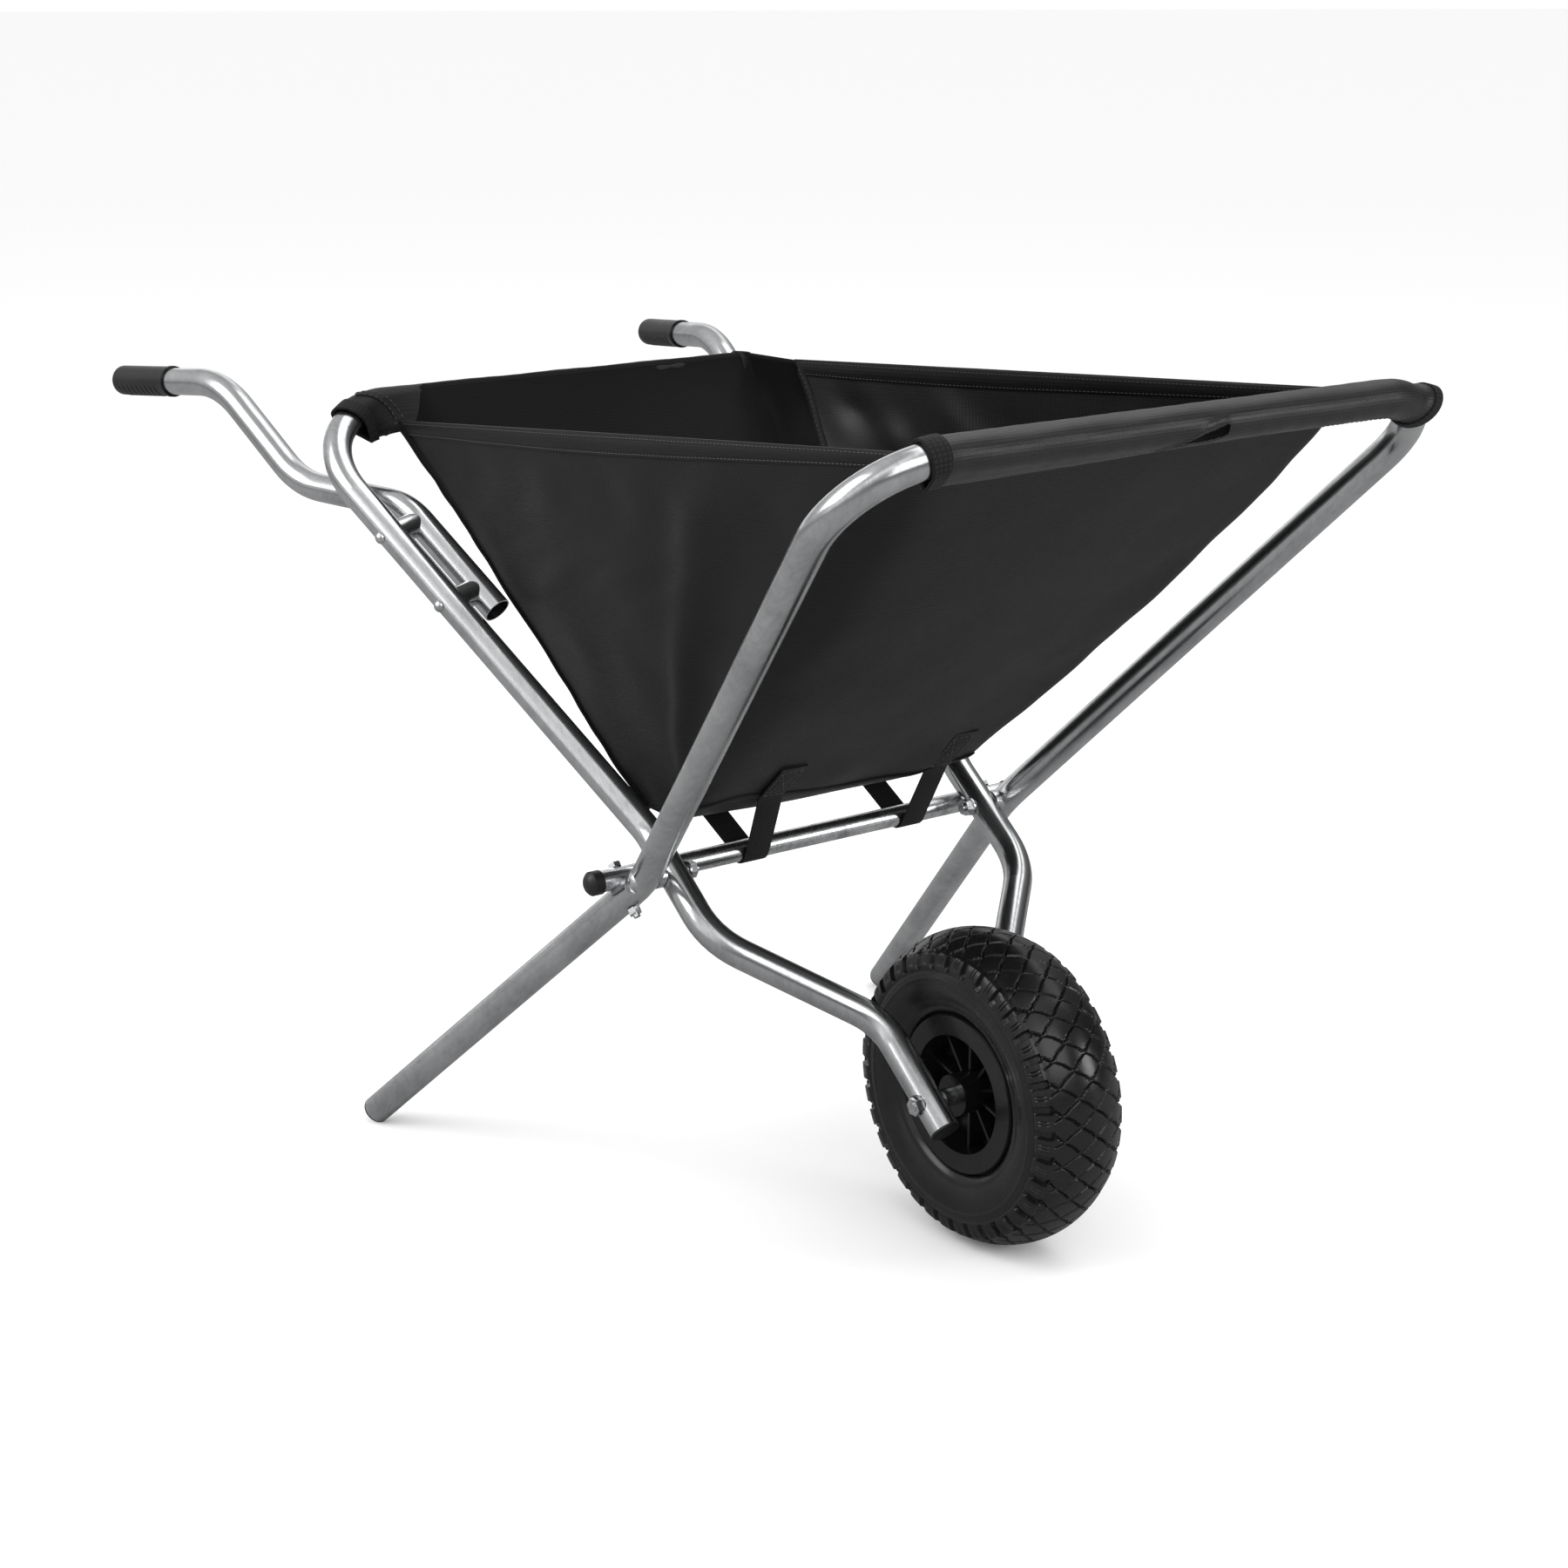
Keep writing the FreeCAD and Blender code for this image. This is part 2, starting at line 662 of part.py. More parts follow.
def tyre():
    """Two beads, two bulging sidewalls and a rounded crown, hollow for the inner tube."""
    bead = (BEAD_SEAT_R + 0.1, FLANGE_IN - 2.2)
    bead_in = (BEAD_SEAT_R + 0.1, FLANGE_IN - 10.0)
    neck = (RIM_R + 0.6, FLANGE_IN + 0.3)
    lip = (RIM_R + 2.0, RIM_HALF - 1.0)
    shoulder = TYRE_SHOULDER
    edges = line_edges([bead, (bead[0] + 1.6, FLANGE_IN - 0.2), neck, lip])
    edges.append(arc_edge(lip, (94.0, TYRE_HALF_W), shoulder))
    edges.append(arc_edge(shoulder, (WHEEL_R, 0.0), (shoulder[0], -shoulder[1])))
    low = (lip[0], -lip[1])
    edges.append(arc_edge((shoulder[0], -shoulder[1]), (94.0, -TYRE_HALF_W), low))
    edges += line_edges([low, (neck[0], -neck[1]), (bead[0] + 1.6, -FLANGE_IN + 0.2), (bead[0], -bead[1])])
    edges += line_edges([(bead[0], -bead[1]), (bead_in[0], -bead_in[1]), (72.0, -24.0)])
    edges.append(arc_edge((72.0, -24.0), (96.0, -36.5), (112.0, -30.0)))
    edges.append(arc_edge((112.0, -30.0), (121.0, 0.0), (112.0, 30.0)))
    edges.append(arc_edge((112.0, 30.0), (96.0, 36.5), (72.0, 24.0)))
    edges += line_edges([(72.0, 24.0), bead_in, bead])
    return turned(edges)


def tube_outline(inset):
    """The inner tube's section, drawn in by inset."""
    low_r = 61.0 + inset
    side = [(74.0, 23.5 - inset), (96.0, 36.0 - inset), (111.5, 29.6 - inset)]
    top_r = 120.4 - inset
    edges = [arc_edge(*side)]
    edges.append(arc_edge(side[2], (top_r, 0.0), (side[2][0], -side[2][1])))
    other = [(radius, -y) for radius, y in side[::-1]]
    edges.append(arc_edge(*other))
    edges.append(arc_edge(other[2], (low_r, 0.0), side[0]))
    return edges


def inner_tube():
    return turned(tube_outline(0.0)).cut(turned(tube_outline(2.0)))


VALVE_R = 4.0
VALVE_ANGLE = 0.0


def valve_axis():
    """The valve leaves the rim's well towards the axle, midway between two ribs."""
    direction = Vector(cos(radians(VALVE_ANGLE)), 0, sin(radians(VALVE_ANGLE)))
    return AXLE + direction * 60.8, AXLE + direction * 27.0


def valve_stem():
    start, end = valve_axis()
    inward = unit(end - start)
    return cylinder(VALVE_R, start, start + inward * 26.0)


def valve_cap():
    start, end = valve_axis()
    inward = unit(end - start)
    seat = start + inward * 20.0
    cap = cylinder(VALVE_R + 1.3, seat, end)
    return cap.cut(cylinder(VALVE_R, seat - inward, start + inward * 26.0))


# ---------------------------------------------------------------- sack
def bar_path(corner, leg_end, bend):
    """The axis over a bar and its two corners, from the right leg to the left, and half its length."""
    right = [mirrored(leg_end), mirrored(corner)]
    path = rounded_path(right + [corner, leg_end], [bend, bend])
    return path, path.Length / 2.0


def part_of_path(path, start, end):
    """The piece of a path between two distances along it."""
    edges = []
    passed = 0.0
    for edge in path.OrderedEdges:
        low = max(start - passed, 0.0)
        high = min(end - passed, edge.Length)
        if low < high - 1e-6:
            a = edge.getParameterByLength(low)
            b = edge.getParameterByLength(high)
            edges.append(edge.Curve.toShape(a, b))
        passed += edge.Length
    return Part.Wire(edges)


def sleeve(bar, right_end, left_end, cloth=HEM_CLOTH):
    """A cloth sleeve on a bar, between two signed distances from the bar's middle."""
    path, middle = bar
    piece = part_of_path(path, middle + right_end, middle + left_end)
    first = piece.OrderedEdges[0]
    start = first.Vertexes[0].Point
    along = first.tangentAt(first.FirstParameter)
    inner = TUBE_R + HEM_GAP
    outer = piece.makePipe(disc_face(inner + cloth, start, along))
    return outer.cut(piece.makePipe(disc_face(inner, start, along)))


def front_bar_path():
    return bar_path(LEG_CORNER, LEG_WAIST, LEG_CORNER_BEND)


def rear_bar_path():
    return bar_path(WHEEL_FRAME_CORNER, WHEEL_FRAME_WAIST, WHEEL_FRAME_CORNER_BEND)


def front_bar():
    return Vector(LEG_CORNER.x, 0, LEG_CORNER.z)


def rear_bar():
    return Vector(WHEEL_FRAME_CORNER.x, 0, WHEEL_FRAME_CORNER.z)


BINDING_W = 12.0


def hem(bar, ends):
    return sleeve(bar, ends[0] + BINDING_W, ends[1] - BINDING_W)


def hem_bindings(bar, ends):
    """The bound ends of a hem sleeve."""
    right = sleeve(bar, ends[0], ends[0] + BINDING_W - 0.01, BINDING_CLOTH)
    left = sleeve(bar, ends[1] - BINDING_W + 0.01, ends[1], BINDING_CLOTH)
    return group([right, left])


def panel_top(bar, low):
    """Where a panel leaves its hem: on the underside of the sleeve, towards the sack's bottom."""
    down = unit(Vector(low.x - bar.x, 0, low.z - bar.z))
    return Vector(bar.x, 0, bar.z) + down * (TUBE_R + HEM_GAP + HEM_CLOTH + 0.2)


def spread(point, half):
    return [Vector(point.x, -half, point.z), Vector(point.x, half, point.z)]


def front_panel():
    top = panel_top(front_bar(), SACK_BOTTOM_FRONT)
    low = SACK_BOTTOM_FRONT
    corners = spread(top, SACK_TOP_HALF - 4.0) + spread(low, low.y)[::-1]
    down = low - Vector(top.x, low.y, top.z)
    return slab(corners, CLOTH, Vector(-down.z, 0, down.x))


def rear_panel_low():
    """The rear panel starts just outside the arc that the bottom's rear edge would cut."""
    top = panel_top(rear_bar(), SACK_BOTTOM_REAR)
    low = Vector(SACK_BOTTOM_REAR.x, 0, SACK_BOTTOM_REAR.z)
    return low + unit(top - low) * 6.0


def rear_panel():
    top = panel_top(rear_bar(), SACK_BOTTOM_REAR)
    low = rear_panel_low()
    corners = spread(top, SACK_REAR_HALF) + spread(low, SACK_BOTTOM_REAR.y)[::-1]
    down = low - top
    return slab(corners, CLOTH, Vector(down.z, 0, -down.x))


def sack_bottom():
    """A shallow trough between the two panels, on the legs' side of the fold."""
    front = Vector(SACK_BOTTOM_FRONT.x - 1.0, 0, SACK_BOTTOM_FRONT.z - 2.2)
    rear = Vector(SACK_BOTTOM_REAR.x, 0, SACK_BOTTOM_REAR.z)
    corners = spread(front, SACK_BOTTOM_FRONT.y) + spread(rear, SACK_BOTTOM_REAR.y)[::-1]
    return slab(corners, -CLOTH, Vector(front.z - rear.z, 0, rear.x - front.x) * -1)


def gusset(side):
    """A side wall from the rear hem to the front hem; cloth that crumples when the frames fold."""
    inset = 2.5
    front_top = panel_top(front_bar(), SACK_BOTTOM_FRONT)
    rear_top = panel_top(rear_bar(), SACK_BOTTOM_REAR)
    low_front = on_side(SACK_BOTTOM_FRONT, side) + Vector(-inset, 0, 4.0)
    low_rear = on_side(SACK_BOTTOM_REAR, side) + Vector(inset, 0, 9.0)
    high_front = Vector(front_top.x - 8.0, side * (SACK_TOP_HALF - 6.0), front_top.z)
    high_rear = Vector(rear_top.x + 8.0, side * (SACK_REAR_HALF - 3.0), rear_top.z)
    outer = [low_front, low_rear, high_rear, high_front]
    inner = [Vector(p.x, p.y - side * CLOTH, p.z) for p in outer]
    faces = []
    for ring in (outer, inner):
        faces += triangles(ring)
    for k in range(4):
        n = (k + 1) % 4
        faces += triangles([outer[k], outer[n], inner[n], inner[k]])
    return Part.makeSolid(Part.makeShell(faces))


def triangles(quad):
    a, b, c, d = quad
    return [Part.Face(Part.makePolygon([a, b, c, a])), Part.Face(Part.makePolygon([a, c, d, a]))]


def strap_loop(y):
    """A webbing loop: sewn to the front panel, round the rod, and up to the sack's bottom."""
    front = Vector(SACK_BOTTOM_FRONT.x + 4.0, 0, SACK_BOTTOM_FRONT.z - 1.5)
    rear = Vector(SACK_BOTTOM_REAR.x + 12.0, 0, SACK_BOTTOM_REAR.z - 2.5)
    strands = [strand(front, rod_tangent(front, 1)), strand(rear, rod_tangent(rear, -1))]
    shape = rod_wrap(front, rear).fuse(strands).removeSplitter()
    shape.translate(Vector(0, y - STRAP_W / 2.0, 0))
    return shape


def rod_tangent(point, turn):
    """Where a strand from point touches the rod's wrap circle, on the front (1) or rear (-1) side."""
    radius = ROD_R + 0.3 + STRAP_T / 2.0
    dx = point.x - ROD.x
    dz = point.z - ROD.z
    distance = sqrt(dx * dx + dz * dz)
    base = Vector(dx / distance, 0, dz / distance)
    side = Vector(base.z, 0, -base.x) * turn
    lean = asin(radius / distance)
    return ROD_XZ + base * (radius * sin(lean)) + side * (radius * cos(lean))


ROD_XZ = Vector(ROD.x, 0, ROD.z)


def strand(a, b):
    """A flat strip between two points of the side view, STRAP_W wide along Y."""
    across = unit(Vector(b.z - a.z, 0, a.x - b.x)) * (STRAP_T / 2.0)
    corners = [a + across, b + across, b - across, a - across]
    face = Part.Face(Part.makePolygon(corners + corners[:1]))
    return face.extrude(Y_AXIS * STRAP_W)


def rod_wrap(front, rear):
    """The strap's lower half ring round the rod, between its two tangent points."""
    inner = ROD_R + 0.3
    ring = washer(inner, inner + STRAP_T, ROD_XZ, ROD_XZ + Y_AXIS * STRAP_W)
    a = rod_tangent(front, 1)
    b = rod_tangent(rear, -1)
    far = 60.0
    wedge = [ROD_XZ, ROD_XZ + unit(a - ROD_XZ) * far, ROD_XZ + Vector(0, 0, far)]
    wedge += [ROD_XZ + unit(b - ROD_XZ) * far]
    upper = Part.Face(Part.makePolygon(wedge + wedge[:1])).extrude(Y_AXIS * STRAP_W)
    return ring.cut(upper)


# ---------------------------------------------------------------- build
def build():
    return {
        "leg_frame_tube": leg_frame_tube(),
        "foot_plugs": foot_plugs(),
        "pivot_bolts": pivot_bolts(),
        "pivot_spacers": pivot_spacers(),
        "pivot_washers": pivot_washers(),
        "pivot_nuts": pivot_nuts(),
        "cross_rod": cross_rod(),
        "rod_end_caps": rod_end_caps(),
        "rod_bolts": rod_bolts(),
        "rod_nuts": rod_nuts(),
        "wheel_frame_tube": wheel_frame_tube(),
        "fork_end_plugs": fork_end_plugs(),
        "handle_tube_left": handle_tube(1),
        "handle_tube_right": handle_tube(-1),
        "grip_left": grip(1),
        "grip_right": grip(-1),
        "handle_saddles": handle_saddles(),
        "handle_bolts": handle_bolts(),
        "handle_nuts": handle_nuts(),
        "axle_bolt": axle_bolt(),
        "axle_nut": axle_nut(),
        "axle_washers": axle_washers(),
        "axle_sleeve": axle_sleeve(),
        "axle_collars": axle_collars(),
        "hub_bushes": hub_bushes(),
        "rim": rim(),
        "tyre": tyre(),
        "inner_tube": inner_tube(),
        "valve_stem": valve_stem(),
        "valve_cap": valve_cap(),
        "front_hem": hem(front_bar_path(), FRONT_HEM),
        "front_hem_bindings": hem_bindings(front_bar_path(), FRONT_HEM),
        "rear_hem": hem(rear_bar_path(), REAR_HEM),
        "rear_hem_bindings": hem_bindings(rear_bar_path(), REAR_HEM),
        "sack_front_panel": front_panel(),
        "sack_rear_panel": rear_panel(),
        "sack_bottom": sack_bottom(),
        "sack_gusset_left": gusset(1),
        "sack_gusset_right": gusset(-1),
        "strap_loop_left": strap_loop(STRAP_Y[1]),
        "strap_loop_right": strap_loop(STRAP_Y[0]),
    }


os.makedirs("parts", exist_ok=True)
for name, shape in build().items():
    shape.exportStep(os.path.join("parts", name + ".step"))
    box = shape.BoundBox
    print(f"{name:22s} solids {len(shape.Solids)} valid {shape.isValid()} {shape.Volume:10.0f} mm3"
          f"  x {box.XMin:8.1f} {box.XMax:8.1f}  y {box.YMin:7.1f} {box.YMax:7.1f}"
          f"  z {box.ZMin:6.1f} {box.ZMax:6.1f}")
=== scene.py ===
"""Folding wheelbarrow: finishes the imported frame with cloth, rubber, galvanised tube and a studio."""
from math import asin, atan2, cos, exp, pi, radians, sin, sqrt, tan

import bpy
import numpy as np
from mathutils import Matrix, Vector


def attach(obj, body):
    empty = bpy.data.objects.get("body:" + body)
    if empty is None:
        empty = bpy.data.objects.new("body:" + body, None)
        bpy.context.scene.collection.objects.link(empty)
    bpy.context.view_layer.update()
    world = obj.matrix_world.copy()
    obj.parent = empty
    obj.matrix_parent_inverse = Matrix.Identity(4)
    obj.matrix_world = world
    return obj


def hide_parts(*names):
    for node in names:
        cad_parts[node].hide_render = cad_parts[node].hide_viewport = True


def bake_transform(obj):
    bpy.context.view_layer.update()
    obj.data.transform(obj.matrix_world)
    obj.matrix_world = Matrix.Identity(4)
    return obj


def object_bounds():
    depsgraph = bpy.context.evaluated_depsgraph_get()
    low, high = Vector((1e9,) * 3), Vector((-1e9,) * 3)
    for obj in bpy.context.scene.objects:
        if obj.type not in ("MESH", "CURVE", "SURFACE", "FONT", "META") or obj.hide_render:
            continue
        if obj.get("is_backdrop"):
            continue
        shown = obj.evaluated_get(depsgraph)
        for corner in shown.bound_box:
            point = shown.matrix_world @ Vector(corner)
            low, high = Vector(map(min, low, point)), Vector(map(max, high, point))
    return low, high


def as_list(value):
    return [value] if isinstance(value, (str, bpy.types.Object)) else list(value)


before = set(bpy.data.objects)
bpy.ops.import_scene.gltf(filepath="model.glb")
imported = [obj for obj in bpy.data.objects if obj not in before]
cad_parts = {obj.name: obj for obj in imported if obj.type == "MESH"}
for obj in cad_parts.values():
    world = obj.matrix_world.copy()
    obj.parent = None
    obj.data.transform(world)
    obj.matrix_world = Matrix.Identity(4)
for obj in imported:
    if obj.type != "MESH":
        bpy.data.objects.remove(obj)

cad_low, cad_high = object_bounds()

# ---------------------------------------------------------------- frame of the design, metres
AXLE_X = 0.36655
MM = 0.001


def at(x, y, z):
    """A point given in millimetres from the axle's X, the middle plane and the ground."""
    return np.array([AXLE_X + x * MM, y * MM, z * MM])


TUBE_R = 12.5 * MM
LEG_CORNER = at(188.0, 290.0, 687.6)
LEG_WAIST = at(-209.6, 191.0, 284.5)
REAR_CORNER = at(-619.0, 284.5, 622.7)
REAR_WAIST = at(-242.0, 164.0, 313.5)
ROD = at(-236.6, 0.0, 281.8)
AXLE = at(0.0, 0.0, 130.0)
GRIP_TIP = at(-935.2, 301.1, 617.0)
HANDLE_NECK = at(-771.0, 274.0, 631.0)


def unit(v):
    """The vector at length one."""
    v = np.asarray(v, float)
    return v / np.linalg.norm(v)


def mix(a, b, t):
    """A straight blend from a at t = 0 to b at t = 1."""
    return np.asarray(a) * (1 - t) + np.asarray(b) * t


def smooth(t):
    """An even rise from 0 to 1, held flat outside that range."""
    t = min(max(t, 0.0), 1.0)
    return t * t * (3 - 2 * t)


def bump(t, centre, width):
    """A bell curve of height 1."""
    return exp(-((t - centre) / width) ** 2)


# ---------------------------------------------------------------- mesh helpers
def add_object(name, data):
    """A new object, placed in the scene."""
    obj = bpy.data.objects.new(name, data)
    bpy.context.scene.collection.objects.link(obj)
    return obj


def make(name, verts, faces, body=None, material=None, uvs=None):
    """A smooth-shaded mesh object; its body and its slot may also be given later."""
    mesh = bpy.data.meshes.new(name)
    mesh.from_pydata([tuple(map(float, v)) for v in verts], [], [tuple(map(int, f)) for f in faces])
    if uvs is not None:
        layer = mesh.uv_layers.new(name="cloth")
        flat = np.array([uvs[vi] for f in faces for vi in f], float).ravel()
        layer.data.foreach_set("uv", flat)
    mesh.validate()
    mesh.update()
    mesh.polygons.foreach_set("use_smooth", [True] * len(mesh.polygons))
    obj = add_object(name, mesh)
    if material:
        mesh.materials.append(material)
    if body:
        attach(obj, body)
    return obj


def ring_faces(rings, around, offset=0):
    """Faces of a tube whose points come ring after ring."""
    faces = []
    for i in range(rings - 1):
        a = offset + i * around
        b = a + around
        for j in range(around):
            k = (j + 1) % around
            faces.append((a + j, b + j, b + k, a + k))
    return faces


def end_caps(rings, around, offset=0):
    """The two faces that close such a tube."""
    last = offset + (rings - 1) * around
    return [tuple(range(offset + around - 1, offset - 1, -1)), tuple(last + j for j in range(around))]


def modifier(obj, kind, **values):
    """Add one modifier with its settings."""
    added = obj.modifiers.new(kind.lower(), kind)
    for key, value in values.items():
        setattr(added, key, value)


def apply_modifiers(obj):
    """Turn the object's modifiers into its mesh."""
    depsgraph = bpy.context.evaluated_depsgraph_get()
    mesh = bpy.data.meshes.new_from_object(obj.evaluated_get(depsgraph))
    obj.modifiers.clear()
    obj.data = mesh


def rounded(points, radii, step=5 * MM):
    """Points, evenly enough spaced, along a path whose corners are rounded."""
    last = np.asarray(points[0], float)
    out = [last]
    for before, corner, after, radius in zip(points, points[1:], points[2:], radii):
        to_before, to_after = unit(before - corner), unit(after - corner)
        angle = np.arccos(np.clip(to_before @ to_after, -1, 1))
        turn = pi - angle
        tangent = radius * tan(turn / 2)
        start, end = corner + to_before * tangent, corner + to_after * tangent
        centre = corner + unit(to_before + to_after) * (radius / cos(turn / 2))
        count = max(1, int(np.linalg.norm(start - last) / step))
        out += [mix(last, start, k / count) for k in range(1, count + 1)]
        u, normal = unit(start - centre), unit(np.cross(start - centre, end - centre))
        w = np.cross(normal, u)
        count = max(4, int(radius * turn / step))
        out += [centre + radius * (u * cos(turn * k / count) + w * sin(turn * k / count))
                for k in range(1, count + 1)]
        last = end
    count = max(1, int(np.linalg.norm(points[-1] - last) / step))
    out += [mix(last, points[-1], k / count) for k in range(1, count + 1)]
    return np.array(out)


def arc_lengths(path):
    """Distance along a path at each of its points."""
    return np.concatenate([[0], np.cumsum(np.linalg.norm(np.diff(path, axis=0), axis=1))])


def sample(path, lengths, s):
    """The point and direction of a path at distance s."""
    s = min(max(s, 0.0), lengths[-1])
    i = int(np.clip(np.searchsorted(lengths, s) - 1, 0, len(path) - 2))
    t = (s - lengths[i]) / max(lengths[i + 1] - lengths[i], 1e-9)
    a = path[max(i - 1, 0)]
    b = path[min(i + 2, len(path) - 1)]
    return mix(path[i], path[i + 1], t), unit(b - a)


def upright(direction):
    """Sideways and upward directions across a path that isn't vertical."""
    side = unit(np.cross(direction, [0, 0, 1]))
    return side, np.cross(side, direction)


def flip_y(p):
    """The point mirrored in the middle plane."""
    return np.array([p[0], -p[1], p[2]])


# ---------------------------------------------------------------- materials
class Nodes:
    """A short way to write the node tree of a new material or world."""

    def __init__(self, name, owners=bpy.data.materials):
        self.owner = owners.new(name)
        self.owner.use_nodes = True
        self.tree = self.owner.node_tree

    def add(self, kind, inputs=None, **settings):
        node = self.tree.nodes.new("ShaderNode" + kind)
        for key, value in settings.items():
            setattr(node, key, value)
        for key, value in (inputs or {}).items():
            self.put(node.inputs[key], value)
        return node

    def put(self, socket, value):
        if isinstance(value, bpy.types.NodeSocket):
            self.tree.links.new(value, socket)
        else:
            socket.default_value = value

    def set(self, **values):
        shader = self.tree.nodes["Principled BSDF"]
        for key, value in values.items():
            self.put(shader.inputs[key.replace("_", " ")], value)

    def position(self):
        return self.add("TexCoord").outputs["Object"]

    def uv(self):
        return self.add("UVMap", uv_map="cloth").outputs["UV"]

    def scaled(self, vector, scale):
        return self.add("Mapping", {"Vector": vector, "Scale": scale}).outputs[0]

    def noise(self, vector, scale, detail=4.0, roughness=0.5, distortion=0.0):
        values = {"Vector": vector, "Scale": scale, "Detail": detail, "Roughness": roughness,
                  "Distortion": distortion}
        return self.add("TexNoise", values).outputs["Fac"]

    def ramp(self, value, stops):
        node = self.add("ValToRGB", {"Fac": value})
        ramp = node.color_ramp
        while len(ramp.elements) < len(stops):
            ramp.elements.new(0.5)
        for element, (place, colour) in zip(ramp.elements, stops):
            element.position = place
            element.color = (*colour, 1)
        return node.outputs["Color"]

    def span(self, value, low, high, from_low=0.0, from_high=1.0):
        values = {"Value": value, "From Min": from_low, "From Max": from_high, "To Min": low, "To Max": high}
        return self.add("MapRange", values).outputs["Result"]

    def math(self, operation, a, b=0.0):
        node = self.add("Math", operation=operation)
        self.put(node.inputs[0], a)
        self.put(node.inputs[1], b)
        return node.outputs[0]

    def bump(self, height, strength, distance, normal=None):
        values = {"Height": height, "Strength": strength, "Distance": distance}
        if normal is not None:
            values["Normal"] = normal
        return self.add("Bump", values).outputs["Normal"]


def grey(value):
    """A neutral colour."""
    return (value, value, value)


PALE_ZINC = [(0.3, (0.38, 0.39, 0.40)), (0.5, (0.56, 0.57, 0.58)), (0.72, (0.74, 0.75, 0.75))]
BRIGHT_ZINC = [(0.32, (0.20, 0.21, 0.22)), (0.5, (0.62, 0.63, 0.64)), (0.68, (0.88, 0.88, 0.89))]


def galvanised():
    """Dipped tube: streaks along it, smudges and fine flecks."""
    n = Nodes("galvanised_tube")
    p = n.position()
    streaks = n.noise(n.scaled(p, (14, 60, 14)), 6.0, 6.0, 0.65, 0.6)
    smudge = n.noise(p, 16.0, 5.0, 0.6)
    flecks = n.noise(p, 240.0, 3.0, 0.6)
    tone = n.math("ADD", n.math("MULTIPLY", streaks, 0.4), n.math("MULTIPLY", smudge, 0.6))
    n.set(Base_Color=n.ramp(tone, PALE_ZINC))
    n.set(Metallic=1.0, Roughness=n.span(tone, 0.30, 0.14, 0.3, 0.7))
    fine = n.bump(flecks, 0.06, 0.0004)
    n.set(Normal=n.bump(smudge, 0.05, 0.002, fine))
    return n.owner


def zinc():
    """Mottled zinc plate of the small metal parts."""
    n = Nodes("zinc")
    p = n.position()
    mottle = n.noise(p, 90.0, 6.0, 0.7, 1.2)
    broad = n.noise(p, 22.0, 4.0, 0.6)
    tone = n.math("ADD", n.math("MULTIPLY", mottle, 0.6), n.math("MULTIPLY", broad, 0.4))
    n.set(Base_Color=n.ramp(tone, BRIGHT_ZINC))
    n.set(Metallic=1.0, Roughness=n.span(tone, 0.38, 0.14, 0.32, 0.66))
    n.set(Normal=n.bump(mottle, 0.12, 0.0006))
    return n.owner


def plastic(name, base=0.010, roughness=(0.34, 0.48), grain=320.0):
    """Black moulded plastic with a fine grain."""
    n = Nodes(name)
    p = n.position()
    grainy = n.noise(p, grain, 4.0, 0.6)
    broad = n.noise(p, 20.0, 3.0, 0.5)
    n.set(Base_Color=n.ramp(broad, [(0.35, grey(base * 0.8)), (0.7, grey(base * 1.25))]))
    n.set(Roughness=n.span(broad, roughness[0], roughness[1], 0.35, 0.7))
    n.set(Normal=n.bump(grainy, 0.12, 0.0003), Specular_IOR_Level=0.4)
    return n.owner


def rubber(name, base=0.009, roughness=(0.36, 0.52)):
    """Black rubber with a little dust in it."""
    n = Nodes(name)
    p = n.position()
    dust = n.noise(p, 34.0, 6.0, 0.65)
    grainy = n.noise(p, 420.0, 3.0, 0.6)
    shades = [(0.3, grey(base * 0.75)), (0.62, grey(base * 1.1)), (0.8, grey(base * 1.7))]
    n.set(Base_Color=n.ramp(dust, shades))
    n.set(Roughness=n.span(dust, roughness[0], roughness[1], 0.3, 0.75))
    n.set(Normal=n.bump(grainy, 0.14, 0.0003), Specular_IOR_Level=0.4)
    return n.owner


def cloth(name, base=0.0045, thread=0.0011, roughness=(0.44, 0.58), strength=0.35, shine=0.19):
    """Woven cloth with a thin coating; its UVs are in metres."""
    n = Nodes(name)
    uv = n.uv()
    bands = {"Vector": uv, "Scale": pi / (thread * 20.0), "Distortion": 0.0}
    warp, weft = (n.add("TexWave", bands, bands_direction=way).outputs["Fac"] for way in "XY")
    weave = n.math("MULTIPLY", warp, weft)
    wear = n.noise(uv, 9.0, 5.0, 0.6)
    slub = n.noise(n.scaled(uv, (60.0, 900.0, 1.0)), 1.0, 2.0, 0.5)
    tone = n.math("ADD", n.math("MULTIPLY", wear, 0.7), n.math("MULTIPLY", slub, 0.3))
    shade = n.math("ADD", n.math("MULTIPLY", tone, 0.5), n.math("MULTIPLY", weave, 0.5))
    n.set(Base_Color=n.ramp(shade, [(0.15, grey(base * 0.5)), (0.75, grey(base * 2.2))]))
    n.set(Roughness=n.span(tone, roughness[0], roughness[1], 0.3, 0.7))
    n.set(Normal=n.bump(weave, strength, 0.0003, n.bump(wear, 0.12, 0.004)))
    n.set(Specular_IOR_Level=shine, Sheen_Weight=0.02, Sheen_Roughness=0.45)
    return n.owner


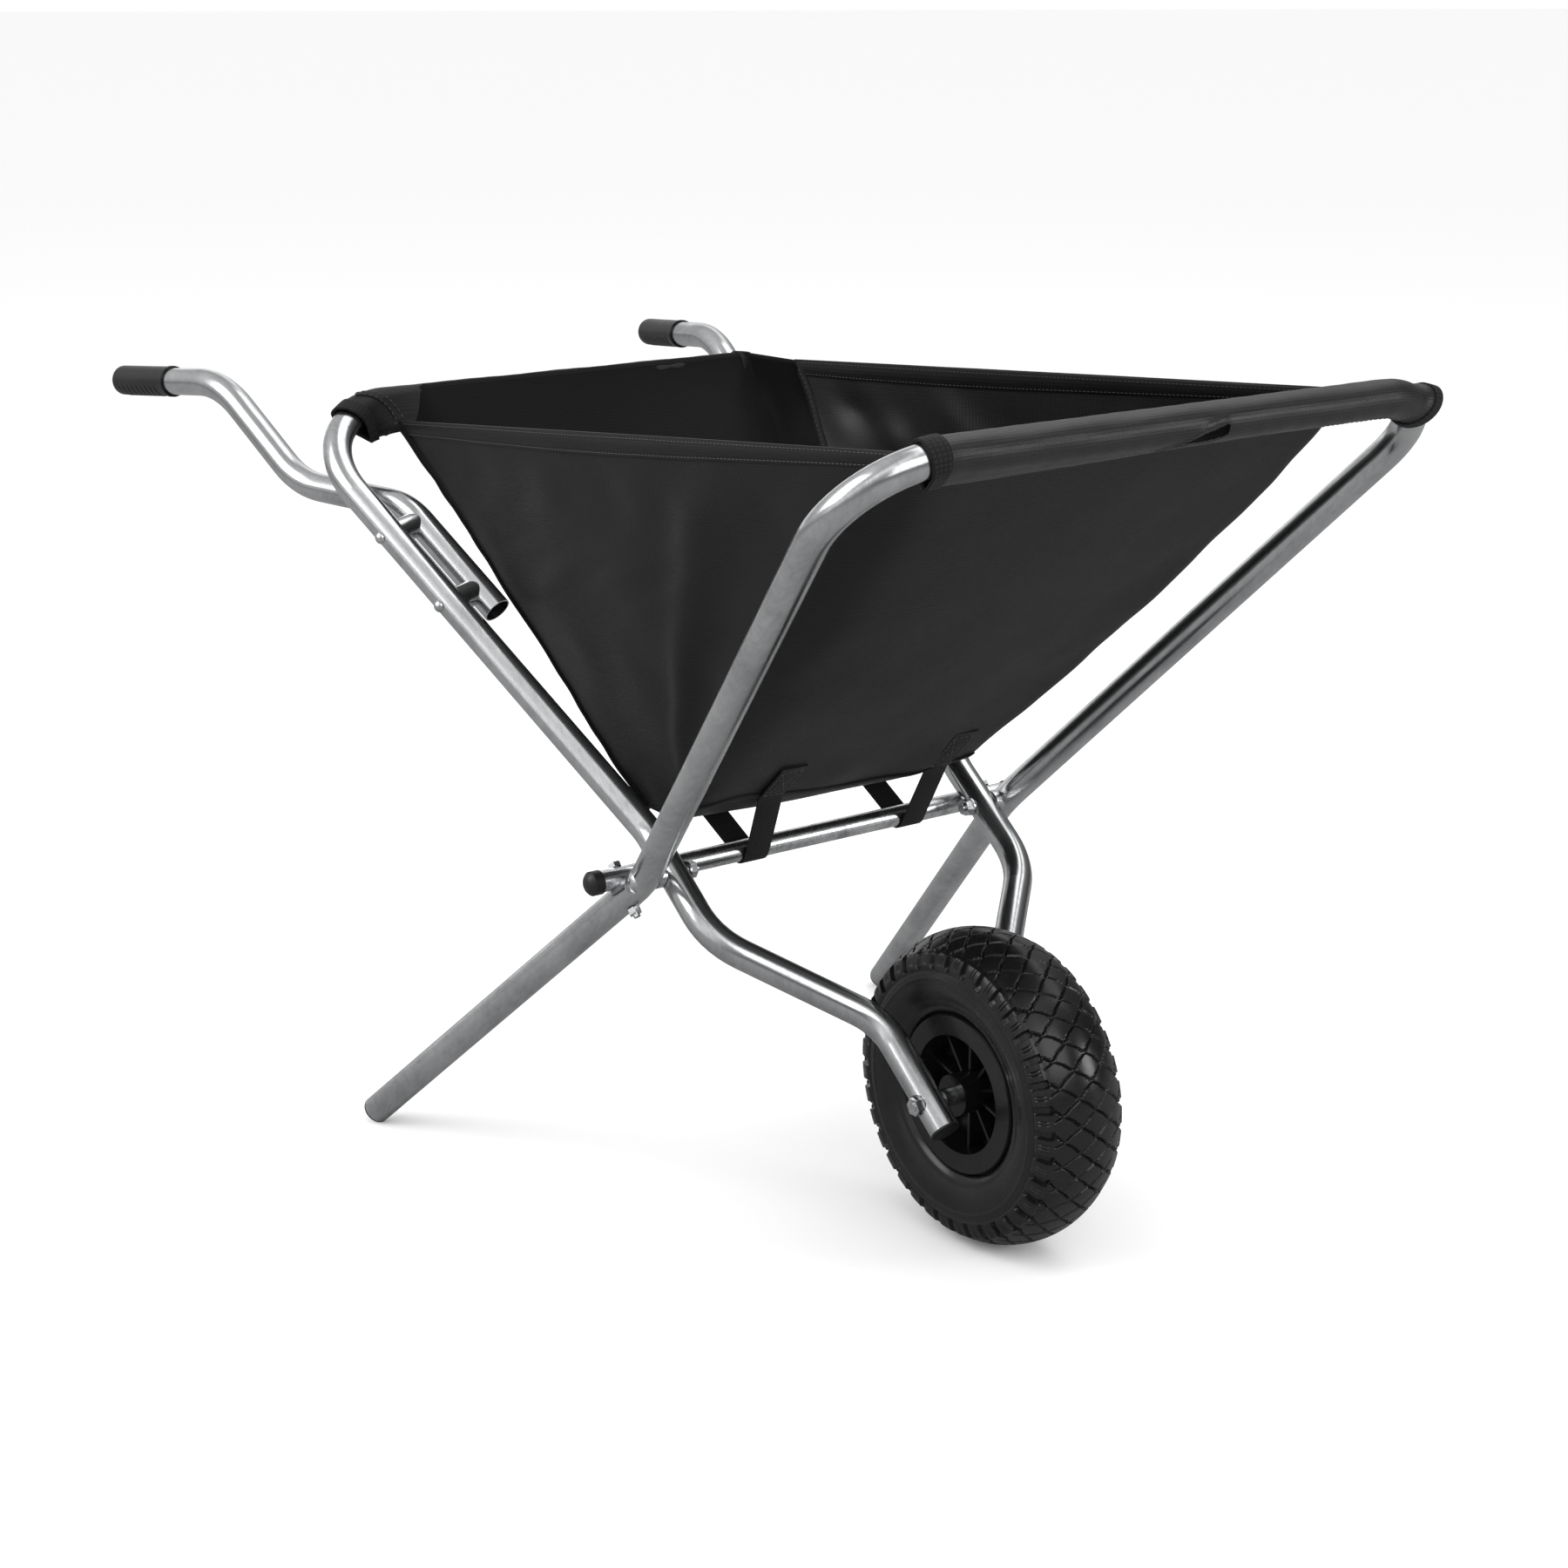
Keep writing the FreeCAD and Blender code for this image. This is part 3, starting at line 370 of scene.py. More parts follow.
M_TUBE = galvanised()
M_ZINC = zinc()
M_PLASTIC = plastic("black_plastic")
M_RIM = plastic("rim_plastic", 0.005, (0.2, 0.32), 260.0)
M_GRIP = rubber("grip", 0.008, (0.36, 0.5))
M_TYRE = rubber("tyre", 0.006, (0.2, 0.34))
M_TUBE_RUBBER = rubber("tube_rubber")
M_CLOTH = cloth("sack_cloth")
# the walls' inner side: a real coated face, its darker colour partly painted shade of the sack's interior
M_INSIDE_COAT_AND_SHADE = cloth("inner_coat_and_painted_shade", 0.0028, 0.0011, (0.42, 0.56), 0.08, 0.04)
# the gussets' inner side: the same coated cloth made lighter, painted light where the inside of the sack is
# lit
M_PAINTED_LIGHT_GUSSET = cloth("painted_light_gusset_inner", 0.011, 0.0011, (0.36, 0.5), 0.1, 0.3)
# the front sleeve: the sack cloth with a lighter base, painted light along its lit top, and a shinier finish
M_PAINTED_LIGHT_SLEEVE = cloth("painted_light_sleeve", 0.006, 0.0011, (0.38, 0.5), 0.35, 0.4)
# near-black cloth for the slit in the front sleeve: painted shade in its hollow
M_SLIT_PAINTED_SHADE = cloth("slit_painted_shade", 0.0006, 0.0011, (0.7, 0.8), 0.1, 0.02)
M_BINDING = cloth("webbing", 0.006, 0.0016, (0.6, 0.75), 0.6)
M_THREAD = cloth("thread", 0.045, 0.0005, (0.5, 0.6), 0.3)

CAD_MATERIALS = {
    M_TUBE: ["leg_frame_tube", "wheel_frame_tube", "handle_tube_left", "handle_tube_right",
             "handle_saddles"],
    M_ZINC: ["cross_rod", "rod_bolts", "rod_nuts", "pivot_bolts", "pivot_washers", "pivot_spacers",
             "pivot_nuts", "handle_bolts", "handle_nuts", "axle_bolt", "axle_nut", "axle_washers",
             "axle_sleeve", "axle_collars"],
    M_PLASTIC: ["foot_plugs", "rod_end_caps", "fork_end_plugs", "hub_bushes", "valve_cap"],
    M_RIM: ["rim"],
    M_TUBE_RUBBER: ["inner_tube", "valve_stem"],
}
for material, names in CAD_MATERIALS.items():
    for name in names:
        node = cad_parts[name]
        node.data.materials.clear()
        node.data.materials.append(material)
        node.data.polygons.foreach_set("use_smooth", [True] * len(node.data.polygons))


# ---------------------------------------------------------------- hem sleeves
def bar_path(corner, waist, radius):
    """The middle line of a U-shaped bar, its lengths, and the length at its middle."""
    points = [flip_y(waist), flip_y(corner), corner, waist]
    path = rounded(points, [radius, radius], 3 * MM)
    lengths = arc_lengths(path)
    return path, lengths, lengths[-1] / 2


FRONT_BAR = bar_path(LEG_CORNER, LEG_WAIST, 70 * MM)
REAR_BAR = bar_path(REAR_CORNER, REAR_WAIST, 78 * MM)
CLOTH_T = 0.9 * MM
UV_PER_TURN = TUBE_R * 1.15


def sleeve(name, start, end, surface, body, material, around, step, thickness=CLOTH_T):
    """A cloth tube round a bar; surface(s, angle) is its outer point at distance s from the bar's middle."""
    count = max(3, int((end - start) / step))
    verts, uvs = [], []
    for k in range(count + 1):
        s = start + (end - start) * k / count
        for j in range(around):
            a = 2 * pi * j / around
            verts.append(surface(s, a))
            uvs.append((s, a * UV_PER_TURN))
    obj = make(name, verts, ring_faces(count + 1, around), material=material, uvs=uvs)
    modifier(obj, "SOLIDIFY", thickness=thickness, offset=-1)
    apply_modifiers(obj)
    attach(obj, body)
    return obj


def wobble(s, a, seed):
    """A gentle unevenness of sewn cloth, in metres."""
    slow = sin(s * 61 + seed + 2.0 * sin(a)) * sin(a * 2 + seed)
    quick = sin(s * 173 + 1.7 * a + seed * 2.1) * sin(s * 97 - a + seed)
    return 0.28 * MM * slow + 0.16 * MM * quick


# each hem's two ends, as distances along its bar from the middle
FRONT_HEM = (-227 * MM, 280 * MM)
REAR_HEM = (-236 * MM, 205 * MM)
FRONT_SEED, REAR_SEED = 0.4, 2.4


def teardrop(a, tip_angle, tip, radius, softness, spread):
    """Outline of cloth wrapped on a bar and drawn to a seam at distance tip."""
    if tip <= radius * 1.01:
        return radius
    reach = np.arccos(radius / tip)
    delta = abs((a - tip_angle + pi) % (2 * pi) - pi)
    if delta >= reach:
        return radius
    sharp = radius / cos(reach - delta)
    return sharp * (1 - softness * exp(-(delta / spread) ** 2))


SLEEVE_R = 12.6 * MM + CLOTH_T
SLIT_ENDS = (-22 * MM, 34 * MM)
SLIT_ANGLES = (radians(166.0), radians(112.0))
FRONT_SEAM_ANGLE = radians(196.0)
FLAP_ANGLE = radians(129.0)
FLAP_TIP, FLAP_TIP_AT_MOUTH = 62.0 * MM, 37.0 * MM


def front_hood(s):
    """0 along the front sleeve, rising to 1 over its last 46 mm."""
    return smooth((s - FRONT_HEM[1] + 46 * MM) / (46 * MM))


def rear_end(s, reach):
    """0 along the rear sleeve, rising to 1 at its near end within the reach."""
    return smooth((REAR_HEM[0] + reach - s) / reach)


def front_tip(s):
    """Angle and distance of the front sleeve's long seam."""
    along = (s - FRONT_HEM[0]) / (FRONT_HEM[1] - FRONT_HEM[0])
    return FRONT_SEAM_ANGLE, (22.5 - 7.0 * smooth(along * 1.3) - 0.6 * front_hood(s)) * MM


def rear_tip(s):
    """The same for the rear sleeve, whose flap is cut back towards its mouth."""
    mouth = smooth((REAR_HEM[0] + 92 * MM - s) / (46 * MM))
    end = rear_end(s, 56 * MM)
    tip = mix(FLAP_TIP, FLAP_TIP_AT_MOUTH, mouth) - 8.0 * MM * end
    return FLAP_ANGLE + radians(22.0 * end), tip


def slit(s, a):
    """How far the cloth is pushed in, or stands out as a lip, at the slit in the front sleeve."""
    t = (s - SLIT_ENDS[0]) / (SLIT_ENDS[1] - SLIT_ENDS[0])
    if not -0.15 < t < 1.15:
        return 0.0
    centre = mix(*SLIT_ANGLES, t)
    half = 0.09 + 0.25 * smooth((t - 0.3) * 2.5)
    off = abs(a - centre) / half
    open_part = smooth(1.5 - off) * smooth((t + 0.1) * 8) * smooth((1.1 - t) * 8)
    lip = exp(-((off - 1.9) / 0.6) ** 2) * smooth((t + 0.1) * 5) * smooth((1.1 - t) * 5)
    return -0.75 * MM * open_part + 0.9 * MM * lip


def around_bar(bar, s, a, r, lean=0.0):
    """The point at distance s along a bar, angle a round it and radius r; lean shifts it along."""
    path, lengths, middle = bar
    point, direction = sample(path, lengths, middle + s)
    side, up = upright(direction)
    return point + r * (up * cos(a) + side * sin(a)) + direction * lean


HOOD_START = 236 * MM
CUT_BACK = 26 * MM


def hooded(s, a, r):
    """The cloth's far end runs on straight where the bar bends down, and its underside is cut back."""
    above = 0.5 + 0.5 * cos(a)
    s -= CUT_BACK * smooth((s - FRONT_HEM[1] + 50 * MM) / (50 * MM)) * (1 - above)
    bent = around_bar(FRONT_BAR, s, a, r)
    past = s - HOOD_START
    if past <= 0:
        return bent
    straight = around_bar(FRONT_BAR, HOOD_START, a, r) + np.array([0, past * 0.74, -0.14 * past])
    return mix(bent, straight, smooth(past / (22 * MM)) * (0.2 + 0.68 * above))


def front_surface(extra=0.0):
    """The front sleeve's outer face as a function of distance and angle, lifted by extra."""
    def surface(s, a):
        tip_angle, tip = front_tip(s)
        hood = front_hood(s)
        softness, spread = 0.045 + 0.05 * hood, 0.16 + 0.2 * hood
        r = teardrop(a, tip_angle, tip, SLEEVE_R + 1.6 * MM * hood, softness, spread)
        r += wobble(s, a, FRONT_SEED) + slit(s, a) + extra
        return hooded(s, a, r)
    return surface


def rear_surface(extra=0.0):
    """The same for the rear sleeve, which gapes and leans back at its near end."""
    def surface(s, a):
        below = 0.5 - 0.5 * cos(a - radians(10.0))
        s += 6 * MM * rear_end(s, 40 * MM) * below
        tip_angle, tip = rear_tip(s)
        a = a + tip_angle - FLAP_ANGLE
        mouth = rear_end(s, 60 * MM)
        softness, spread = 0.045 + 0.06 * mouth, 0.16 + 0.24 * mouth
        r = teardrop(a, tip_angle, tip, SLEEVE_R + 0.8 * MM * mouth, softness, spread)
        r += wobble(s, a, REAR_SEED) + extra
        lean = mouth * (4.0 * MM * cos(a - tip_angle) - 1.0 * MM)
        return around_bar(REAR_BAR, s, a, r, lean)
    return surface


front_hem = sleeve("front_hem_cloth", *FRONT_HEM, front_surface(), "leg_frame", M_PAINTED_LIGHT_SLEEVE, 128, 2 * MM)
# the slit's pushed-in faces take the second slot, the near-black painted shade
front_hem.data.materials.append(M_SLIT_PAINTED_SHADE)
front_uvs = front_hem.data.uv_layers["cloth"].data
for face in front_hem.data.polygons:
    s, turned = np.mean([front_uvs[i].uv for i in face.loop_indices], axis=0)
    if slit(s, turned / UV_PER_TURN) < -0.2 * MM:
        face.material_index = 1
rear_hem = sleeve("rear_hem_cloth", *REAR_HEM, rear_surface(), "wheel_frame", M_CLOTH, 80, 3 * MM)
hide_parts("front_hem")
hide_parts("rear_hem")

BINDING_W = 13 * MM
BINDING_T = 1.6 * MM
BINDING_LIFT = 0.7 * MM
OVERHANG = 0.6 * MM
bindings = {"front": [], "rear": []}
for tag, ends, surface, body, node in (
        ("front", FRONT_HEM, front_surface(BINDING_LIFT), "leg_frame", "front_hem_bindings"),
        ("rear", REAR_HEM, rear_surface(BINDING_LIFT), "wheel_frame", "rear_hem_bindings")):
    pair = [("right", ends[0] - OVERHANG, ends[0] + BINDING_W),
            ("left", ends[1] - BINDING_W, ends[1] + OVERHANG)]
    for side_name, low, high in pair:
        strip = sleeve(f"{tag}_hem_binding_{side_name}", low, high, surface, body,
                       M_BINDING, 64, 1.5 * MM, BINDING_T)
        bindings[tag].append(strip)
    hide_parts(node)


# ---------------------------------------------------------------- sack
FLOOR_FRONT = (at(-196, -142, 340), at(-196, 143, 339))
FLOOR_REAR = (at(-272, -147, 325), at(-270, 145, 325))
RIM_REAR_RIGHT = at(-600, -187, 609)
RIM_REAR_LEFT = at(-517, 190, 641)
RIM_FRONT_RIGHT = at(170, -212, 687)
RIM_FRONT_LEFT = at(176, 188, 694)
UNDER_SLEEVE = at(178, 0, 678)
KINK_SHARE = 0.2
KINK_X, KINK_Z = -613, 637.4
KINK = at(KINK_X, 200, KINK_Z)
KINK_FADE = 0.42


def corner_line(name, v):
    """A seam of the sack, from the rim at v = 0 to the floor at v = 1."""
    if name == "rear_right":
        return mix(RIM_REAR_RIGHT, FLOOR_REAR[0], v)
    if name == "rear_left":
        return mix(RIM_REAR_LEFT, FLOOR_REAR[1], v)
    belly = sin(pi * min(v, 1.0)) ** 0.8
    if name == "front_right":
        return mix(RIM_FRONT_RIGHT, FLOOR_FRONT[0], v) + np.array([0, -10 * MM * belly, 0])
    out = (36 * belly + 12 * bump(v, 0.2, 0.16)) * MM
    return mix(RIM_FRONT_LEFT, FLOOR_FRONT[1], v) + np.array([0, out, 0])


def kink(v):
    """The fold beside the hem's far end, which fades into the flat wall below."""
    top = mix(RIM_REAR_LEFT, RIM_REAR_RIGHT, KINK_SHARE)
    flat = mix(corner_line("rear_left", v), corner_line("rear_right", v), KINK_SHARE)
    return flat + (KINK - top) * (1 - smooth(v / KINK_FADE))


def gusset_right(a, v):
    """The near side wall, a from the rear seam to the front one, with a belly, a crease and a dip."""
    p = mix(corner_line("rear_right", v), corner_line("front_right", v), a)
    belly = sin(pi * v) ** 0.9 * sin(pi * a) ** 0.8
    out = 13 * MM * belly
    crease = exp(-((a - 0.66 - 0.05 * v) / 0.045) ** 2) * smooth(v * 4) * smooth((1 - v) * 3)
    out += 5.0 * MM * crease
    dip = exp(-((a - 0.80) / 0.07) ** 2) * smooth(v * 3) * smooth((1 - v) * 2)
    out -= 6.0 * MM * dip
    return p + np.array([0, -out, 0])


def gusset_left(a, v):
    """The far side wall, a from the front seam to the rear one, with a belly, a fold and dimples."""
    p = mix(corner_line("front_left", v), corner_line("rear_left", v), a)
    out = 12 * MM * sin(pi * v) ** 0.9 * sin(pi * a) ** 0.8
    fold = exp(-((a - 0.72 + 0.35 * v) / 0.035) ** 2) * smooth(v * 6) * smooth((0.62 - v) * 5)
    out -= 6.5 * MM * fold
    dimple = bump(a, 0.9, 0.035) * bump(v, 0.13, 0.05) - 0.7 * bump(a, 0.82, 0.03) * bump(v, 0.2, 0.05)
    out += 6.0 * MM * dimple
    return p + np.array([0, out, 0])


def front_wall(a, v):
    """The front wall: tucked under its sleeve, hollow, and sagging between the straps."""
    p = mix(corner_line("front_right", v), corner_line("front_left", v), a)
    hollow = sin(pi * a) * sin(pi * v) ** 0.7
    normal = np.array([0.66, 0, -0.75])
    p = p + normal * 7 * MM * hollow
    tucked = smooth(a / 0.05) * smooth((1 - a) / 0.05) * (1 - smooth(v / 0.08))
    p = mix(p, np.array([UNDER_SLEEVE[0], p[1], UNDER_SLEEVE[2]]), tucked)
    sagging = sin(pi * a) * smooth((v - 0.85) / 0.15)
    strap = exp(-((a - 0.28) / 0.1) ** 2) + exp(-((a - 0.86) / 0.06) ** 2)
    uneven = (5 * bump(a, 0.8, 0.12) - 6 * bump(a, 0.14, 0.1)) * smooth((v - 0.85) / 0.15)
    return p - np.array([0, 0, (4 * sagging * (1 - 0.6 * min(strap, 1.0)) + uneven) * MM])


def rear_wall(a, v):
    """The rear wall, whose top row lies on the bar as far as the near corner."""
    past = (a - KINK_SHARE) / (1 - KINK_SHARE)
    if past < 0:
        p = mix(corner_line("rear_left", v), kink(v), a / KINK_SHARE)
    else:
        p = mix(kink(v), corner_line("rear_right", v), past)
    rise = max(past, 0.0) * smooth((1 - past) / 0.09) * (1 - smooth(v / KINK_FADE))
    p = p + (at(KINK_X, 0, KINK_Z) - at(-600, 0, 609)) * rise
    out = 10 * MM * sin(pi * v) * sin(pi * a)
    fold = exp(-((a - 0.1 - 0.12 * v) / 0.04) ** 2) * smooth(v * 8) * smooth((0.5 - v) * 5)
    out += 7 * MM * fold
    facet = (a - 0.02 - 0.35 * v) / 0.05
    out -= 6 * MM * exp(-facet ** 2) * smooth(v * 14) * smooth((0.2 - v) * 9)
    return p + np.array([-0.65, 0, -0.75]) * out


# the walls in their order round the sack, each a number of columns wide, and the sack's rows
WALLS = (gusset_right, front_wall, gusset_left, rear_wall)
WALL_COLUMNS = 72
STARTS = np.arange(len(WALLS) + 1) * WALL_COLUMNS
DOWN = 84
FLOOR_RINGS = 12
FLOOR_HALF_WIDTH = 146 * MM
FLOOR_LEVEL, FLOOR_SAG = 324 * MM, 4 * MM
# how wide and how strongly each corner is rounded, in the order of STARTS
CORNER_WIDTHS = (1.5, 9.0, 3.5, 1.5)
CORNER_STRENGTHS = (0.04, 1.0, 0.3, 0.05)


def sack_grid():
    """Rows of points from the rim down the walls, then in over the floor."""
    rings = []
    for k in range(DOWN + 1):
        v = k / DOWN
        rings.append([wall(j / WALL_COLUMNS, v) for wall in WALLS for j in range(WALL_COLUMNS)])
    rings = np.array(rings)
    total = rings.shape[1]
    index = np.arange(total)
    weight = np.zeros(total)
    for corner, width, strength in zip(STARTS, CORNER_WIDTHS, CORNER_STRENGTHS):
        gap = np.abs((index - corner + total / 2) % total - total / 2)
        weight = np.maximum(weight, strength * np.exp(-(gap / width) ** 2))
    lengthwise = np.clip(np.arange(DOWN + 1) / DOWN * 6.0, 0.12, 1)[:, None, None]
    for _ in range(60):
        middle = (np.roll(rings, 1, 1) + np.roll(rings, -1, 1)) / 2
        rings = rings + 0.5 * weight[None, :, None] * lengthwise * (middle - rings)
    floor = []
    rim = rings[-1]
    centre_x = (FLOOR_FRONT[0][0] + FLOOR_REAR[0][0]) / 2
    for k in range(1, FLOOR_RINGS + 1):
        t = k / FLOOR_RINGS
        ring = rim.copy()
        ring[:, 0] = rim[:, 0] + (centre_x - rim[:, 0]) * t
        across = 1 - (np.abs(rim[:, 1]) / FLOOR_HALF_WIDTH) ** 2
        inward = sin(t * pi / 2)
        ring[:, 2] = rim[:, 2] + (FLOOR_LEVEL - rim[:, 2]) * inward - FLOOR_SAG * inward * across
        floor.append(ring)
    return np.concatenate([rings, np.array(floor)])


def wrinkles(points):
    """Small uneven ripples and gathers near the floor, as moves along X and Y."""
    x, y, z = points[..., 0], points[..., 1], points[..., 2]
    ripple = np.sin(38 * x + 21 * z + 2.2 * np.sin(17 * y)) * np.sin(29 * z - 13 * x + 1.0)
    fine = np.sin(83 * x - 61 * z + 3 * np.sin(41 * z)) * np.sin(71 * y + 53 * z)
    down = np.linspace(0, 1, points.shape[0])[:, None]
    fade = np.clip(down * 9, 0, 1) * np.clip((1 - down) * 9, 0, 1)
    low = np.clip((down - 0.74) / 0.2, 0, 1) * np.clip((1 - down) * 14, 0, 1)
    gathers = np.sin(105 * x + 34 * z + 1.4 * np.sin(60 * z)) * np.sin(37 * x - 52 * y)
    move = (1.3 * MM * ripple + 0.5 * MM * fine) * fade + 1.9 * MM * gathers * low
    moved = points.copy()
    moved[..., 1] += move
    moved[..., 0] += 0.6 * move
    return moved


sack_points = wrinkles(sack_grid())


def sack_uvs(points):
    """Metres round the sack at mid height and metres down one column."""
    around = arc_lengths(points[DOWN // 2])
    down = arc_lengths(points[:, 40])
    return [(around[j], down[i]) for i in range(points.shape[0]) for j in range(points.shape[1])]


def bend_with_frames(obj):
    """Bake the piece's placement into its mesh."""
    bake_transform(obj)


rows, columns = sack_points.shape[:2]
sack = make("sack_shell", sack_points.reshape(-1, 3), ring_faces(rows, columns),
            material=M_CLOTH, uvs=sack_uvs(sack_points))
modifier(sack, "WELD", merge_threshold=0.2 * MM)
# each outer material is followed by the one that SOLIDIFY gives the inner side
# the gussets' inner side gets the lighter copy, painted light; the other walls' inner side gets the coating,
# darker partly as painted shade
GUSSET_OUTSIDE = 2
for sack_material in (M_INSIDE_COAT_AND_SHADE, M_CLOTH, M_PAINTED_LIGHT_GUSSET):
    sack.data.materials.append(sack_material)
for face in sack.data.polygons:
    row, column = divmod(face.index, columns)
    if row < DOWN and (column < STARTS[1] or STARTS[2] <= column < STARTS[3]):
        face.material_index = GUSSET_OUTSIDE
modifier(sack, "SOLIDIFY", thickness=CLOTH_T, offset=0, material_offset=1)
apply_modifiers(sack)
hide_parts("sack_front_panel", "sack_rear_panel", "sack_bottom",
            "sack_gusset_left", "sack_gusset_right")
bend_with_frames(sack)


def cloth_strip(name, centre, across, normal, width, thickness, material):
    """A flat tape along centre points; across and normal give its width and outer side at each point."""
    verts, uvs = [], []
    half = width / 2
    section = [(-half, 0), (-half * 0.96, thickness), (0, thickness * 1.08),
               (half * 0.96, thickness), (half, 0), (0, -0.1 * thickness)]
    for c, w, n, s in zip(centre, across, normal, arc_lengths(np.array(centre))):
        for x, h in section:
            verts.append(c + w * x + n * h)
            uvs.append((s, x))
    faces = ring_faces(len(centre), len(section)) + end_caps(len(centre), len(section))
    return make(name, verts, faces, material=material, uvs=uvs)


def surface_normals(points):
    """The outer side of the sack at each of its points."""
    du = np.roll(points, -1, 1) - np.roll(points, 1, 1)
    dv = np.gradient(points, axis=0)
    normal = np.cross(du, dv)
    size = np.linalg.norm(normal, axis=-1, keepdims=True)
    normal = normal / np.maximum(size, 1e-12)
    centre = points[:DOWN].mean(axis=(0, 1))
    outward = ((points - centre) * normal).sum(-1).mean()
    return normal if outward > 0 else -normal


sack_normals = surface_normals(sack_points)


def column_line(column, rows_used, inside=False, shift=0.0, lift=0.5 * MM):
    """Centres, widths and outer sides of a line that runs down the sack along one column."""
    sign = -1.0 if inside else 1.0
    centre, across, normal = [], [], []
    line = sack_points[:, column]
    for i in rows_used:
        p = line[i]
        n = unit(sack_normals[i, column - 2] + sack_normals[i, column + 2]) * sign
        w = unit(np.cross(unit(line[i + 1] - line[i - 1]), n))
        centre.append(p + w * shift + n * lift)
        across.append(w)
        normal.append(n)
    return centre, across, normal


def row_line(row, first, last, drop=0.0, inside=False, lift=0.5 * MM):
    """The same for a line that runs round the sack, at distance drop below a row."""
    sign = -1.0 if inside else 1.0
    centre, across, normal = [], [], []
    for j in range(first, last + 1):
        k = j % columns
        n = sack_normals[max(row, 1), k] * sign
        down = unit(sack_points[row + 3, k] - sack_points[row, k])
        centre.append(sack_points[row, k] + down * drop + n * lift)
        across.append(down)
        normal.append(n)
    return centre, across, normal


DASH = 3.4 * MM
DASH_PITCH = 5.0 * MM
DASH_SIDES = 6
# place along a dash and share of the thread's radius there
DASH_SHAPE = ((-0.5, 0.35), (-0.32, 1.0), (0.32, 1.0), (0.5, 0.35))
THREAD_R = 0.34 * MM


def thread(name, lines, body=None):
    """Sewing thread: short raised dashes along lines, each given as points and outer sides."""
    verts, faces, uvs = [], [], []
    for points, normals in lines:
        points, normals = np.array(points), np.array(normals)
        lengths = arc_lengths(points)
        count = int(lengths[-1] / DASH_PITCH)
        for k in range(count):
            middle = (k + 0.5) * lengths[-1] / count
            first = len(verts)
            for t, size in DASH_SHAPE:
                p, direction = sample(points, lengths, middle + t * DASH)
                i = int(np.clip(np.searchsorted(lengths, middle), 0, len(normals) - 1))
                n = unit(normals[i] - direction * (normals[i] @ direction))
                w = np.cross(direction, n)
                for j in range(DASH_SIDES):
                    a = 2 * pi * j / DASH_SIDES
                    verts.append(p + THREAD_R * size * (w * cos(a) * 1.2 + n * (sin(a) * 0.8 + 0.3)))
                    uvs.append((t * DASH, a * THREAD_R))
            faces += ring_faces(len(DASH_SHAPE), DASH_SIDES, first)
            faces += end_caps(len(DASH_SHAPE), DASH_SIDES, first)
    obj = make(name, verts, faces, material=M_THREAD, uvs=uvs)
    if body:
        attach(obj, body)
    else:
        bend_with_frames(obj)
    return obj


def line_of(line):
    """Only the centres and the outer sides of a line, as thread() takes them."""
    return line[0], line[2]


def hem_line(surface, stations, angles):
    """Points and outer sides of a line on a hem sleeve."""
    points, normals = [], []
    for s, a in zip(stations, angles):
        p = surface(s, a)
        u = surface(s + 1 * MM, a) - surface(s - 1 * MM, a)
        v = surface(s, a + 0.02) - surface(s, a - 0.02)
        points.append(p)
        normals.append(unit(np.cross(v, u)))
    return points, normals


def hem_lines(surface, ends, tip_of, slack):
    """Rows of stitches: one round each bound end, and one along each side of the long seam."""
    lines = []
    for s in (ends[0] + BINDING_W - 3 * MM, ends[1] - BINDING_W + 3 * MM):
        angles = np.linspace(0, 2 * pi, 60)
        lines.append(hem_line(surface, [s] * 60, angles))
    stations = np.linspace(ends[0] + BINDING_W + 3 * MM, ends[1] - BINDING_W - 3 * MM, 120)
    for sign in (-1, 1):
        lines.append(hem_line(surface, stations, [tip_of(s)[0] + sign * slack for s in stations]))
    return lines


THREAD_LIFT = 0.9 * MM
front_rows = hem_lines(front_surface(THREAD_LIFT), FRONT_HEM, front_tip, 0.34)
rear_rows = hem_lines(rear_surface(THREAD_LIFT), REAR_HEM, rear_tip, 0.22)
front_thread = thread("front_hem_stitches", front_rows, "leg_frame")
rear_thread = thread("rear_hem_stitches", rear_rows, "wheel_frame")

# a narrow strip that covers a join across the rear sleeve, near its mouth
strip_angles = np.radians(np.linspace(-25.0, 118.0, 26))
strip_stations = np.linspace(-213.0, -188.0, 26) * MM
strip_points, strip_normals = hem_line(rear_surface(0.3 * MM), strip_stations, strip_angles)
strip_tangents = np.gradient(np.array(strip_points), axis=0)
strip_across = [unit(np.cross(t, n)) for t, n in zip(strip_tangents, strip_normals)]
strip_line = (strip_points, strip_across, strip_normals)
rear_strip = cloth_strip("rear_hem_seam_strip", *strip_line, 9 * MM, 1.2 * MM, M_CLOTH)
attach(rear_strip, "wheel_frame")
strip_rows = [([p + w * x + n * 1.5 * MM for p, w, n in zip(*strip_line)], strip_normals)
              for x in (-3.2 * MM, 3.2 * MM)]
rear_strip_thread = thread("rear_hem_seam_strip_stitches", strip_rows, "wheel_frame")

